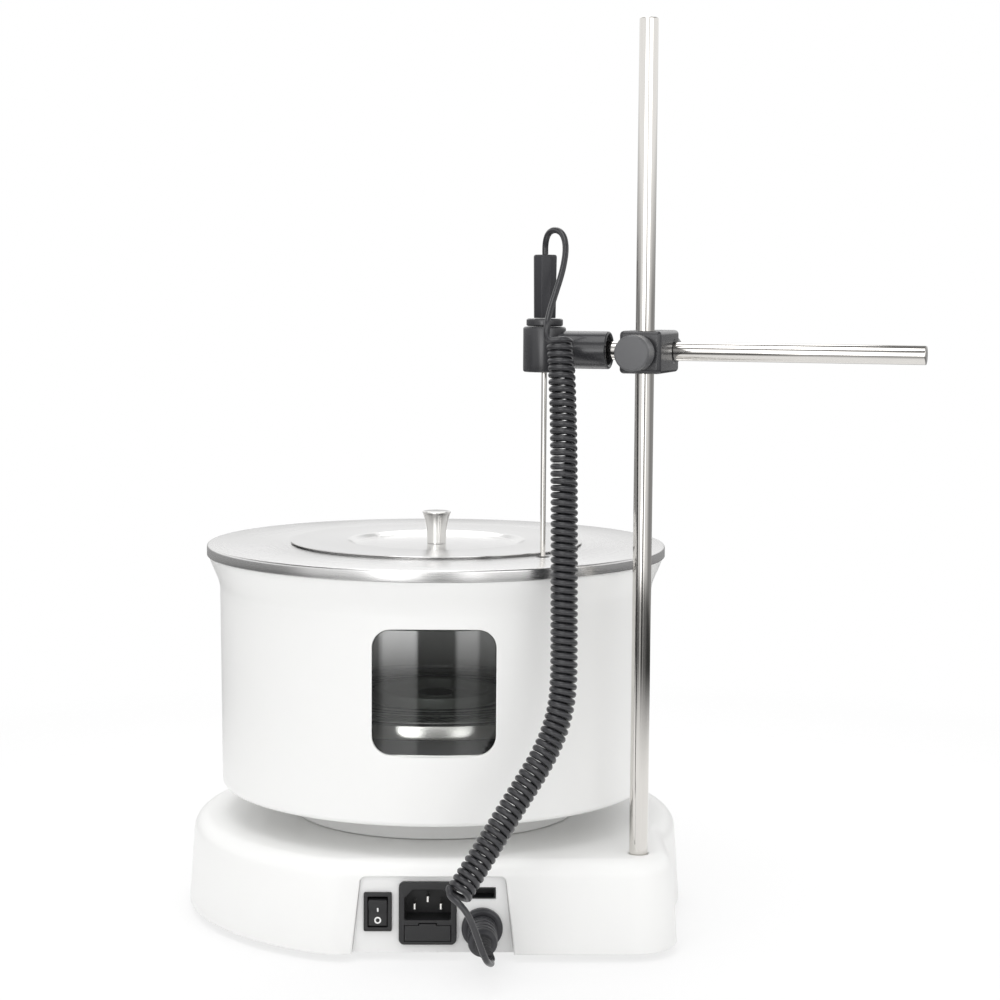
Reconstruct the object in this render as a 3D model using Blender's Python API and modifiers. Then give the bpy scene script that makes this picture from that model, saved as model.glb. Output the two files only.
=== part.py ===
# Heated bath magnetic stirrer with a support rod, a sensor probe on a cross rod and a coiled sensor cord.
# Metres, +Z up, +Y to the rear. Pieces are placed from the stirring axis on the bench top.
# The whole assembly then hangs on one empty, which centres it over the origin.
import math

import bmesh
import bpy
import numpy as np
from mathutils import Matrix

# Fits
GAP = 0.0003
CUT_OVER = 0.004
WELD = 0.00001

# Facets of round pieces
LARGE_ROUND = 40
HEATER_ROUND = 22
MEDIUM_ROUND = 24
KNOB_ROUND = 20
SMALL_ROUND = 12
SCREW_ROUND = 8
ELEMENT_ROUND = 5
BASE_RIGHT_STEPS = 20
BASE_LEFT_STEPS = 13
BASE_CORNER_STEPS = 6
SMOOTH_ANGLE = 35.0

# Base: a round housing with flat front and rear and one squared rear corner that carries the rod
BASE_LIFT = 0.004
BASE_HEIGHT = 0.050
BASE_MARGIN = 0.0193
BASE_REAR_CUT = 0.0118
BASE_FRONT_CUT = 0.0118
BASE_SIDE_CUT = 0.0105
BASE_CORNER = 0.027
BASE_DRAFT = 0.0036
BASE_FILLET = 0.009
BASE_WALL = 0.0032
BASE_ROOF = 0.0035
BASE_ROOF_HOLE = 0.050
PLATE_THICKNESS = 0.002
PLATE_INSET = 0.001
FOOT_RADIUS = 0.010
FOOT_SOLE_RADIUS = 0.009
FOOT_CIRCLE = 0.108
SCREW_CIRCLE = 0.086
SCREW_SHANK = 0.0014
SCREW_HEAD = 0.003
SCREW_HEAD_HEIGHT = 0.0018
SCREW_LENGTH = 0.010
BOSS_RADIUS = 0.0045

# Panels let into the rear and the front of the base
PANEL_THICKNESS = 0.0025
PANEL_RECESS = 0.0029
REVEAL_WALL = 0.0025
REAR_PANEL_TOP = 0.0457
REAR_PANEL_TOP_WIDTH = 0.077
REAR_PANEL_BOTTOM_WIDTH = 0.0864
FRONT_PANEL_WIDTH = 0.098
FRONT_PANEL_BOTTOM = 0.0105
FRONT_PANEL_TOP = 0.0440

# Power switch
SWITCH_X = 0.0294
SWITCH_Z = 0.0264
SWITCH_WIDTH = 0.015
SWITCH_HEIGHT = 0.021
SWITCH_FLANGE = 0.002
SWITCH_RIM = 0.0022
SWITCH_BODY_INSET = 0.0012
SWITCH_DEPTH = 0.012
ROCKER_PLAY = 0.0009
ROCKER_PIVOT = 0.0015
ROCKER_PROUD = 0.0004
ROCKER_VALLEY = 0.0018
ROCKER_BACK = 0.006
ROCKER_TILT = -9.0

# Mains inlet with its fuse drawer
INLET_X = 0.0028
INLET_Z = 0.0258
INLET_WIDTH = 0.0308
INLET_HEIGHT = 0.0339
INLET_CORNER = 0.003
INLET_FLANGE = 0.003
INLET_DEPTH = 0.020
INLET_BODY_INSET = 0.0016
CAVITY_WIDTH = 0.0246
CAVITY_HEIGHT = 0.0166
CAVITY_RISE = 0.0048
CAVITY_DEPTH = 0.0155
CAVITY_CHAMFER = 0.0045
PIN_WIDTH = 0.002
PIN_HEIGHT = 0.004
PIN_LENGTH = 0.012
PIN_SPREAD = 0.007
PIN_EARTH_RISE = 0.0022
PIN_LINE_DROP = 0.0018
DRAWER_WIDTH = 0.0246
DRAWER_HEIGHT = 0.0084
DRAWER_DROP = 0.0106
DRAWER_DEPTH = 0.0165
DRAWER_FLOOR = 0.0018
FUSE_RADIUS = 0.0025
FUSE_LENGTH = 0.020
FUSE_SETBACK = 0.008

# Data port and sensor socket
PORT_X = -0.0265
PORT_Z = 0.0363
PORT_WIDTH = 0.0133
PORT_HEIGHT = 0.0057
PORT_DEPTH = 0.012
PORT_WALL = 0.0006
PORT_POCKET = 0.009
PORT_PROUD = 0.0006
SOCKET_X = -0.0262
SOCKET_Z = 0.0175
SOCKET_FLANGE_RADIUS = 0.011
SOCKET_FLANGE = 0.0035
SOCKET_BARREL_RADIUS = 0.0082
SOCKET_DEPTH = 0.010
SOCKET_BORE = 0.0062
SOCKET_BORE_DEPTH = 0.009
PLUG_RADIUS = 0.0078
PLUG_LENGTH = 0.026
PLUG_CHAMFER = 0.002
PLUG_NOSE = 0.008
BOOT_RADIUS = 0.0046
BOOT_TIP_RADIUS = 0.0029

# Support rod, cross rod and clamp
ROD_RADIUS = 0.005
ROD_SIDE_MARGIN = 0.022
ROD_REAR_MARGIN = 0.0222
ROD_TOP = 0.498
ROD_SOCKET_RADIUS = 0.0125
ROD_SOCKET_HEIGHT = 0.022
ROD_SOCKET_FLOOR = 0.002
CLAMP_Z = 0.324
CLAMP_TURN = -19.0
CLAMP_WIDTH = 0.0225
CLAMP_HEIGHT = 0.0225
CLAMP_COVER = 0.011
CLAMP_EDGE = 0.002
ROD_SPACING = 0.020
CROSS_ROD_OVERHANG = 0.145
KNOB_RADIUS = 0.0094
KNOB_NECK_RADIUS = 0.0068
KNOB_NECK = 0.005
KNOB_HEAD = 0.0128
KNOB_EDGE = 0.0012
STUD_RADIUS = 0.003

# Probe holder and probe
PROBE_REACH = 0.0614
HOLDER_RADIUS = 0.01165
HOLDER_HEIGHT = 0.0246
ARM_RADIUS = 0.0102
ARM_LENGTH = 0.0368
ARM_BORE_DEPTH = 0.0215
ARM_RECESS_RADIUS = 0.008
ARM_RECESS_DEPTH = 0.0025
NUT_RADIUS = 0.00995
NUT_HEIGHT = 0.0041
HANDLE_LENGTH = 0.0343
HANDLE_FOOT_RADIUS = 0.0062
HANDLE_TOP_RADIUS = 0.0066
HANDLE_SIDES = 8
SHEATH_RADIUS = 0.0015
SHEATH_TIP_Z = 0.140

# Bath: pedestal, shell, window, glass pot, cover ring and lid
PEDESTAL_RADIUS = 0.082
PEDESTAL_WALL = 0.008
SHELL_BOTTOM = 0.071
SHELL_TOP = 0.2035
SHELL_FOOT_RADIUS = 0.1237
SHELL_WAIST_GAIN = 0.0011
SHELL_WAIST_Z = 0.184
SHELL_RIM_GAIN = 0.0064
SHELL_FLARE = ((0.0, 0.0), (0.25, 0.10), (0.55, 0.42), (0.80, 0.80), (1.0, 1.0))
SHELL_WALL = 0.0025
SHELL_FLOOR = 0.0025
SHELL_FLOOR_HOLE = 0.060
SHELL_EDGE = 0.0025
WINDOW_WIDTH = 0.066
WINDOW_HEIGHT = 0.0675
WINDOW_CORNER = 0.010
WINDOW_Z = 0.1434
WINDOW_RECESS = 0.0006
WINDOW_PANE = 0.0017
WINDOW_MARGIN = 0.006
POT_MARGIN = 0.0192
POT_WALL = 0.003
POT_FLOOR = 0.003
POT_RIM_DROP = 0.0005
SEAL_HEIGHT = 0.004
SEAL_DROP = 0.001
RING_OVERHANG = 0.0011
RING_HEIGHT = 0.0062
RING_SHEET = 0.0011
RING_FLANGE = 0.0447
RING_LIP = 0.004
RING_ROUND = 0.0012
PROBE_HOLE_RADIUS = 0.004
LID_OVERLAP = 0.0052
LID_SHEET = 0.0012
LID_SPIGOT = 0.003
LID_SPIGOT_PLAY = 0.0008
LID_DISH_RADIUS = 0.051
LID_DISH_SLOPE = 0.004
LID_DISH_DROP = 0.0022
LID_KNOB_FOOT_RADIUS = 0.0055
LID_KNOB_TOP_RADIUS = 0.0084
LID_KNOB_HEIGHT = 0.0185
LID_KNOB_FLARE = 2.2
LID_KNOB_STEPS = 4

# Heater under the pot
INSULATION_RADIUS = 0.095
INSULATION_HEIGHT = 0.010
INSULATION_HOLE = 0.048
HEATER_RADIUS = 0.094
HEATER_WALL = 0.0015
HEATER_HEIGHT = 0.028
HEATER_LEDGE = 0.0065
HEATER_LEDGE_SHEET = 0.002
BAND_WIDTH = 0.0038
BAND_HEIGHT = 0.0078
BAND_OVERHANG = 0.001
HOTPLATE_THICKNESS = 0.0082
HOTPLATE_RINGS = (0.064, 0.046)
HOTPLATE_STEP = 0.0006
HOTPLATE_SEAT_RADIUS = 0.036
HOTPLATE_SEAT_WIDTH = 0.006
HOTPLATE_SEAT_RISE = 0.006
HOTPLATE_HUB_RADIUS = 0.0095
HOTPLATE_HUB_RISE = 0.004
ELEMENT_CIRCLE = 0.072
ELEMENT_RADIUS = 0.0035

# Stirring drive
MOTOR_RADIUS = 0.025
MOTOR_HEIGHT = 0.031
SHAFT_RADIUS = 0.0025
CARRIER_LENGTH = 0.080
CARRIER_WIDTH = 0.022
CARRIER_THICKNESS = 0.004
CARRIER_RISE = 0.0025
CARRIER_EDGE = 0.0008
MAGNET_RADIUS = 0.008
MAGNET_HEIGHT = 0.008
MAGNET_SPREAD = 0.028

# Controls on the front panel, and the board behind them
BOARD_WIDTH = 0.086
BOARD_HEIGHT = 0.034
BOARD_THICKNESS = 0.0016
BOARD_SETBACK = 0.012
DISPLAY_WIDTH = 0.042
DISPLAY_HEIGHT = 0.020
DISPLAY_THICKNESS = 0.003
DIAL_SPREAD = 0.036
DIAL_RADIUS = 0.011
DIAL_TOP_RADIUS = 0.0098
DIAL_HEIGHT = 0.014
DIAL_SHAFT_RADIUS = 0.003

# Sensor cord: the route's own points, from the probe handle to the boot of the plug
CORD_RADIUS = 0.0017
COIL_RADIUS = 0.0056
COIL_PITCH = 0.00375
COIL_POINTS = 8
COIL_START = 0.2
COIL_END = 0.0
COIL_EASE = 0.03
LEAD_STRAIGHT = 0.0045
LEAD_JOIN = 0.004
LEAD_STEP = 0.004
BOOT_STEP = 0.003
ROUTE_FINE = 40
UPPER_ROUTE = (
    (-0.0604, 0.0730, 0.3864),
    (-0.0639, 0.0780, 0.3884),
    (-0.0675, 0.0830, 0.3861),
    (-0.0691, 0.0870, 0.3797),
    (-0.0685, 0.0903, 0.3725),
    (-0.0668, 0.0937, 0.3650),
    (-0.0643, 0.0975, 0.3571),
    (-0.0616, 0.1020, 0.3491),
    (-0.0596, 0.1060, 0.3426),
    (-0.0586, 0.1088, 0.3371),
)
COIL_ROUTE = (
    (-0.0655, 0.1042, 0.3294),
    (-0.0662, 0.1058, 0.3215),
    (-0.0669, 0.1086, 0.3085),
    (-0.0678, 0.1190, 0.2660),
    (-0.0680, 0.1280, 0.2160),
    (-0.0680, 0.1350, 0.1660),
    (-0.0664, 0.1395, 0.1400),
    (-0.0608, 0.1440, 0.1220),
    (-0.0450, 0.1540, 0.0960),
    (-0.0269, 0.1660, 0.0690),
    (-0.0129, 0.1765, 0.0490),
)
LOWER_ROUTE = (
    (-0.0089, 0.1818, 0.0513),
    (-0.0111, 0.1855, 0.0495),
    (-0.0147, 0.1888, 0.0471),
    (-0.0185, 0.1908, 0.0422),
    (-0.0219, 0.1918, 0.0345),
    (-0.0248, 0.1918, 0.0263),
    (-0.0274, 0.1900, 0.0196),
    (-0.0292, 0.1850, 0.0163),
)
BOOT_ROUTE = (
    (-0.0294, 0.1765, 0.0156),
    (-0.0276, 0.1690, 0.0169),
)

# Heights and places that follow from the sizes above: the base and the rod stand about the bath's foot
SHELL_WAIST_RADIUS = SHELL_FOOT_RADIUS + SHELL_WAIST_GAIN
SHELL_RIM_RADIUS = SHELL_WAIST_RADIUS + SHELL_RIM_GAIN
POT_RADIUS = SHELL_FOOT_RADIUS - POT_MARGIN
RING_RADIUS = SHELL_RIM_RADIUS + RING_OVERHANG
RING_MOUTH = SHELL_FOOT_RADIUS - RING_FLANGE
LID_RADIUS = RING_MOUTH + LID_OVERLAP
BASE_RADIUS = SHELL_FOOT_RADIUS + BASE_MARGIN
BASE_REAR = BASE_RADIUS - BASE_REAR_CUT
BASE_FRONT = BASE_RADIUS - BASE_FRONT_CUT
BASE_SIDE = BASE_RADIUS - BASE_SIDE_CUT
ROD_X = ROD_SIDE_MARGIN - BASE_SIDE
ROD_Y = BASE_REAR - ROD_REAR_MARGIN
BASE_TOP = BASE_LIFT + BASE_HEIGHT
BASE_CEILING = BASE_TOP - BASE_ROOF
PLATE_BOTTOM = BASE_LIFT + PLATE_INSET
PLATE_TOP = PLATE_BOTTOM + PLATE_THICKNESS
RING_TOP = SHELL_TOP + GAP + RING_HEIGHT
LID_BOTTOM = RING_TOP + GAP
LID_TOP = LID_BOTTOM + LID_SHEET
INSULATION_BOTTOM = SHELL_BOTTOM + SHELL_FLOOR + GAP
HEATER_BOTTOM = INSULATION_BOTTOM + INSULATION_HEIGHT + GAP
HEATER_TOP = HEATER_BOTTOM + HEATER_HEIGHT
LEDGE_TOP = HEATER_TOP - BAND_HEIGHT / 2
HOTPLATE_BOTTOM = LEDGE_TOP + GAP
HOTPLATE_TOP = HOTPLATE_BOTTOM + HOTPLATE_THICKNESS
POT_BOTTOM = HOTPLATE_TOP + HOTPLATE_SEAT_RISE + GAP
BAND_BOTTOM = HEATER_TOP + GAP
BAND_RADIUS = HEATER_RADIUS + BAND_OVERHANG
MOTOR_BOTTOM = PLATE_TOP + GAP
MOTOR_TOP = MOTOR_BOTTOM + MOTOR_HEIGHT
CARRIER_BOTTOM = HEATER_BOTTOM + CARRIER_RISE
MAGNET_BOTTOM = CARRIER_BOTTOM + CARRIER_THICKNESS + GAP

# Plain material values: colour, roughness, metallic
FINISHES = {
    "white_plastic": ((0.86, 0.86, 0.85), 0.35, 0.0),
    "panel_plastic": ((0.78, 0.78, 0.77), 0.40, 0.0),
    "black_plastic": ((0.035, 0.036, 0.040), 0.38, 0.0),
    "clamp_grey": ((0.070, 0.072, 0.078), 0.42, 0.0),
    "cord_grey": ((0.060, 0.062, 0.068), 0.50, 0.0),
    "rubber": ((0.030, 0.030, 0.032), 0.80, 0.0),
    "steel": ((0.72, 0.71, 0.69), 0.22, 1.0),
    "dark_metal": ((0.16, 0.16, 0.17), 0.40, 1.0),
    "zinc": ((0.60, 0.60, 0.58), 0.40, 1.0),
    "glass": ((0.70, 0.74, 0.74), 0.05, 0.0),
    "silicone": ((0.75, 0.74, 0.70), 0.60, 0.0),
    "insulation": ((0.80, 0.78, 0.72), 0.90, 0.0),
    "board_green": ((0.05, 0.22, 0.10), 0.45, 0.0),
    "display": ((0.02, 0.03, 0.05), 0.12, 0.0),
    "magnet": ((0.50, 0.50, 0.51), 0.25, 1.0),
}

for old in list(bpy.data.objects):
    bpy.data.objects.remove(old, do_unlink=True)

parts = bpy.data.collections.new("magnetic_stirrer")
cutters = bpy.data.collections.new("magnetic_stirrer_cutters")
bpy.context.scene.collection.children.link(parts)
bpy.context.scene.collection.children.link(cutters)


def make_material(name):
    colour, roughness, metallic = FINISHES[name]
    material = bpy.data.materials.new(name)
    material.use_nodes = True
    shader = material.node_tree.nodes["Principled BSDF"]
    shader.inputs["Base Color"].default_value = (*colour, 1.0)
    shader.inputs["Roughness"].default_value = roughness
    shader.inputs["Metallic"].default_value = metallic
    return material


materials = {name: make_material(name) for name in FINISHES}


def add_empty(name, parent, location, turn=0.0):
    empty = bpy.data.objects.new(name, None)
    parts.objects.link(empty)
    empty.parent = parent
    empty.location = location
    empty.rotation_euler = (0.0, 0.0, math.radians(turn))
    return empty


root = add_empty("assembly", None, (0.0, 0.0, 0.0))


def add_part(name, data, finish, parent=root, location=(0.0, 0.0, 0.0)):
    part = bpy.data.objects.new(name, data)
    parts.objects.link(part)
    part.parent = parent
    part.location = location
    data.materials.append(materials[finish])
    return part


def add_cutter(name, data, parent=root, location=(0.0, 0.0, 0.0)):
    cutter = bpy.data.objects.new(name, data)
    cutters.objects.link(cutter)
    cutter.parent = parent
    cutter.location = location
    cutter.hide_render = True
    cutter.display_type = "WIRE"
    return cutter


def combine(part, other, operation="DIFFERENCE"):
    modifier = part.modifiers.new(other.name, "BOOLEAN")
    modifier.operation = operation
    modifier.solver = "EXACT"
    modifier.object = other


def round_edges(part, width, segments=2, angle=40.0):
    modifier = part.modifiers.new("rounded edges", "BEVEL")
    modifier.width = width
    modifier.segments = segments
    modifier.limit_method = "ANGLE"
    modifier.angle_limit = math.radians(angle)


def finish_mesh(name, bm):
    mesh = bpy.data.meshes.new(name)
    bm.to_mesh(mesh)
    bm.free()
    mesh.shade_smooth()
    mesh.set_sharp_from_angle(angle=math.radians(SMOOTH_ANGLE))
    return mesh


def box_mesh(name, low, high):
    bm = bmesh.new()
    size = [b - a for a, b in zip(low, high)]
    centre = [(a + b) / 2 for a, b in zip(low, high)]
    bmesh.ops.create_cube(bm, size=1.0, matrix=Matrix.Translation(centre) @ Matrix.Diagonal((*size, 1.0)))
    return finish_mesh(name, bm)


# A round bar or taper between two places on its axis, which runs along X, Y or Z
def rod_mesh(name, radius, start, end, along="Z", sides=MEDIUM_ROUND, end_radius=None):
    turns = {"X": Matrix.Rotation(math.radians(90), 4, "Y"), "Y": Matrix.Rotation(math.radians(-90), 4, "X"),
             "Z": Matrix.Identity(4)}
    middle = Matrix.Translation((0.0, 0.0, (start + end) / 2))
    bm = bmesh.new()
    bmesh.ops.create_cone(
        bm, cap_ends=True, segments=sides, radius1=radius,
        radius2=radius if end_radius is None else end_radius, depth=end - start,
        matrix=turns[along] @ middle)
    return finish_mesh(name, bm)


# A flat outline in X and Y, from one height to another
def outline_mesh(name, points, low, high):
    curve = bpy.data.curves.new(name, "CURVE")
    curve.dimensions = "2D"
    curve.fill_mode = "BOTH"
    curve.extrude = (high - low) / 2
    spline = curve.splines.new("POLY")
    spline.points.add(len(points) - 1)
    for point, (x, y) in zip(spline.points, points):
        point.co = (x, y, 0.0, 1.0)
    spline.use_cyclic_u = True
    flat = bpy.data.objects.new(name, curve)
    bpy.context.scene.collection.objects.link(flat)
    graph = bpy.context.evaluated_depsgraph_get()
    mesh = bpy.data.meshes.new_from_object(flat.evaluated_get(graph))
    bpy.data.objects.remove(flat, do_unlink=True)
    bm = bmesh.new()
    bm.from_mesh(mesh)
    bpy.data.meshes.remove(mesh)
    bmesh.ops.remove_doubles(bm, verts=bm.verts, dist=WELD)
    bmesh.ops.translate(bm, verts=bm.verts, vec=(0.0, 0.0, (low + high) / 2))
    return finish_mesh(name, bm)


# An outline drawn in X and Z, from one depth to another along Y
def upright_mesh(name, points, front, rear):
    mesh = outline_mesh(name, [(x, -z) for x, z in points], front, rear)
    mesh.transform(Matrix.Rotation(math.radians(-90), 4, "X"))
    return mesh


def arc(centre, radius, start, end, steps):
    angles = [math.radians(start + (end - start) * i / steps) for i in range(steps + 1)]
    return [(centre[0] + radius * math.cos(a), centre[1] + radius * math.sin(a)) for a in angles]


def rounded_rectangle(width, height, corner, centre=(0.0, 0.0), steps=4):
    x, y = width / 2 - corner, height / 2 - corner
    points = []
    for i, (sx, sy) in enumerate(((1, 1), (-1, 1), (-1, -1), (1, -1))):
        points += arc((centre[0] + sx * x, centre[1] + sy * y), corner, 90 * i, 90 * (i + 1), steps)
    return points


# A turned piece. Its profile runs down the outer side; a ring's profile closes on itself.
def turned_mesh(name, profile, ring):
    bm = bmesh.new()
    verts = [bm.verts.new((r, 0.0, z)) for r, z in profile]
    pairs = list(zip(verts, verts[1:]))
    if ring:
        pairs.append((verts[-1], verts[0]))
    for a, b in pairs:
        bm.edges.new((a, b))
    mesh = bpy.data.meshes.new(name)
    bm.to_mesh(mesh)
    bm.free()
    return mesh


def turn_profile(piece, sides):
    screw = piece.modifiers.new("turned", "SCREW")
    screw.steps = sides
    screw.render_steps = sides
    screw.use_merge_vertices = True
    screw.merge_threshold = WELD
    screw.use_smooth_shade = True


def add_turned(name, profile, finish, parent=root, location=(0.0, 0.0, 0.0), ring=False, sides=LARGE_ROUND):
    part = add_part(name, turned_mesh(name, profile, ring), finish, parent, location)
    turn_profile(part, sides)
    return part


# The base outline, drawn inwards by an inset
def base_outline(inset):
    radius = BASE_RADIUS - inset
    rear = BASE_REAR - inset
    front = BASE_FRONT - inset
    side = BASE_SIDE - inset
    corner = BASE_CORNER - inset
    rear_angle = math.degrees(math.asin(rear / radius))
    front_angle = math.degrees(math.asin(front / radius))
    side_angle = math.degrees(math.acos(side / radius))
    points = arc((0.0, 0.0), radius, -front_angle, rear_angle, BASE_RIGHT_STEPS)
    points += arc((corner - side, rear - corner), corner, 90, 180, BASE_CORNER_STEPS)
    points += arc((0.0, 0.0), radius, 180 - side_angle, 180 + front_angle, BASE_LEFT_STEPS)
    return points


# The base leans inwards by its draft from its lower edge to its top
def base_scale(z):
    return 1.0 - BASE_DRAFT / BASE_RADIUS * (z - BASE_LIFT) / BASE_HEIGHT


def base_mesh(name, inset, low, high):
    mesh = outline_mesh(name, base_outline(inset), low, high)
    for vertex in mesh.vertices:
        factor = base_scale(vertex.co.z)
        vertex.co.x *= factor
        vertex.co.y *= factor
    return mesh


def panel_outline(top, bottom, top_width, bottom_width, grow, grow_bottom):
    slope = (bottom_width - top_width) / 2 / (top - bottom)
    low, high = bottom - grow_bottom, top + grow
    low_half = bottom_width / 2 + grow + slope * grow_bottom
    high_half = top_width / 2 + grow - slope * grow
    return [(low_half, low), (high_half, high), (-high_half, high), (-low_half, low)]


def rear_outline(grow, grow_bottom=0.0):
    return panel_outline(
        REAR_PANEL_TOP, BASE_LIFT, REAR_PANEL_TOP_WIDTH, REAR_PANEL_BOTTOM_WIDTH, grow, grow_bottom)


def front_outline(grow):
    return panel_outline(
        FRONT_PANEL_TOP, FRONT_PANEL_BOTTOM, FRONT_PANEL_WIDTH, FRONT_PANEL_WIDTH, grow, grow)


# The face of each panel lies behind the leaning wall by the recess at the panel's top edge
REAR_FACE = BASE_REAR * base_scale(REAR_PANEL_TOP) - PANEL_RECESS
FRONT_FACE = -(BASE_FRONT * base_scale(FRONT_PANEL_TOP) - PANEL_RECESS)


# The wall of a panel's recess: its inner end backs the panel, its outer end stays inside the leaning wall
def reveal_mesh(name, outline, face, wall):
    sign = 1.0 if face > 0 else -1.0
    inner = face - sign * PANEL_THICKNESS
    outer = sign * (wall - BASE_WALL / 2)
    mesh = upright_mesh(name, outline, min(inner, outer), max(inner, outer))
    for vertex in mesh.vertices:
        if abs(vertex.co.y - outer) < abs(vertex.co.y - inner):
            vertex.co.y *= base_scale(vertex.co.z)
    return mesh


# Four places on a circle, one in each quarter
def quarter_places(radius):
    names = ("rear_right", "rear_left", "front_left", "front_right")
    angles = [math.radians(45 + 90 * i) for i in range(4)]
    return {name: (radius * math.cos(a), radius * math.sin(a), 0.0) for name, a in zip(names, angles)}


def make_base():
    housing = add_part("base_housing", base_mesh("base_housing", 0.0, BASE_LIFT, BASE_TOP), "white_plastic")
    weights = housing.data.attributes.new("bevel_weight_edge", "FLOAT", "EDGE")
    rim = set()
    for polygon in housing.data.polygons:
        if abs(polygon.normal.z) < 0.5:
            rim.update(polygon.edge_keys)
    for edge in housing.data.edges:
        heights = [housing.data.vertices[i].co.z for i in edge.vertices]
        if min(heights) > BASE_TOP - WELD and edge.key in rim:
            weights.data[edge.index].value = 1.0
    fillet = housing.modifiers.new("top fillet", "BEVEL")
    fillet.limit_method = "WEIGHT"
    fillet.width = BASE_FILLET
    fillet.segments = 3
    combine(housing, add_cutter("base_hollow", base_mesh(
        "base_hollow", BASE_WALL, BASE_LIFT - CUT_OVER, BASE_CEILING)))
    rear_reveal = reveal_mesh("rear_reveal", rear_outline(REVEAL_WALL), REAR_FACE, BASE_REAR)
    combine(housing, add_cutter("rear_reveal", rear_reveal), "UNION")
    front_reveal = reveal_mesh("front_reveal", front_outline(REVEAL_WALL), FRONT_FACE, BASE_FRONT)
    combine(housing, add_cutter("front_reveal", front_reveal), "UNION")
    combine(housing, add_cutter("rear_opening", upright_mesh(
        "rear_opening", rear_outline(0.0, CUT_OVER), BASE_REAR - BASE_RADIUS / 4, BASE_REAR + CUT_OVER)))
    combine(housing, add_cutter("front_opening", upright_mesh(
        "front_opening", front_outline(0.0), -BASE_FRONT - CUT_OVER, BASE_RADIUS / 4 - BASE_FRONT)))
    combine(housing, add_cutter("roof_hole", rod_mesh(
        "roof_hole", BASE_ROOF_HOLE, BASE_CEILING - CUT_OVER, BASE_TOP + CUT_OVER, sides=MEDIUM_ROUND)))
    combine(housing, add_cutter("rod_hole", rod_mesh(
        "rod_hole", ROD_RADIUS + GAP, BASE_CEILING - CUT_OVER, BASE_TOP + CUT_OVER, sides=MEDIUM_ROUND),
        location=(ROD_X, ROD_Y, 0.0)))
    plate = add_part("base_plate", base_mesh("base_plate", BASE_WALL + GAP, PLATE_BOTTOM, PLATE_TOP), "zinc")
    notch = REAR_PANEL_BOTTOM_WIDTH / 2 + REVEAL_WALL + GAP
    combine(plate, add_cutter("plate_notch", box_mesh(
        "plate_notch", (-notch, REAR_FACE - PANEL_THICKNESS - GAP, PLATE_BOTTOM - CUT_OVER),
        (notch, BASE_REAR + CUT_OVER, PLATE_TOP + CUT_OVER))))
    for name, place in quarter_places(FOOT_CIRCLE).items():
        foot = rod_mesh(
            "foot_" + name, FOOT_SOLE_RADIUS, 0.0, PLATE_BOTTOM - GAP, "Z", SMALL_ROUND, FOOT_RADIUS)
        add_part("foot_" + name, foot, "rubber", location=place)
    tip = PLATE_BOTTOM + SCREW_LENGTH
    head_top = PLATE_BOTTOM - GAP
    for name, place in quarter_places(SCREW_CIRCLE).items():
        boss = rod_mesh(
            "boss_" + name, BOSS_RADIUS, PLATE_TOP + GAP, BASE_CEILING + BASE_ROOF / 2, "Z", SCREW_ROUND)
        combine(housing, add_cutter("boss_" + name, boss, location=place), "UNION")
        hole = rod_mesh(
            "screw_hole_" + name, SCREW_SHANK + GAP, PLATE_BOTTOM - CUT_OVER, tip + GAP, "Z", SCREW_ROUND)
        hole_cutter = add_cutter("screw_hole_" + name, hole, location=place)
        combine(housing, hole_cutter)
        combine(plate, hole_cutter)
        add_turned("base_screw_" + name, [
            (0.0, tip), (SCREW_SHANK, tip), (SCREW_SHANK, head_top), (SCREW_HEAD, head_top),
            (SCREW_HEAD, head_top - SCREW_HEAD_HEIGHT), (0.0, head_top - SCREW_HEAD_HEIGHT)],
            "zinc", location=place, sides=SCREW_ROUND)


def make_rear_panel():
    return add_part("rear_panel", upright_mesh(
        "rear_panel", rear_outline(-GAP), REAR_FACE - PANEL_THICKNESS, REAR_FACE), "panel_plastic")


# A rectangular frame piece: a flange on the panel face and a body that passes through the panel
def add_panel_body(name, panel, flange, body, finish, place):
    part = add_part(name, flange, finish, location=place)
    low = [min(v.co[i] for v in body.vertices) for i in range(3)]
    high = [max(v.co[i] for v in body.vertices) for i in range(3)]
    combine(part, add_cutter(name + "_body", body, location=place), "UNION")
    hole = box_mesh(name + "_hole", (low[0] - GAP, -PANEL_THICKNESS - CUT_OVER, low[2] - GAP),
                    (high[0] + GAP, CUT_OVER, high[2] + GAP))
    combine(panel, add_cutter(name + "_hole", hole, location=place))
    return part


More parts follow.
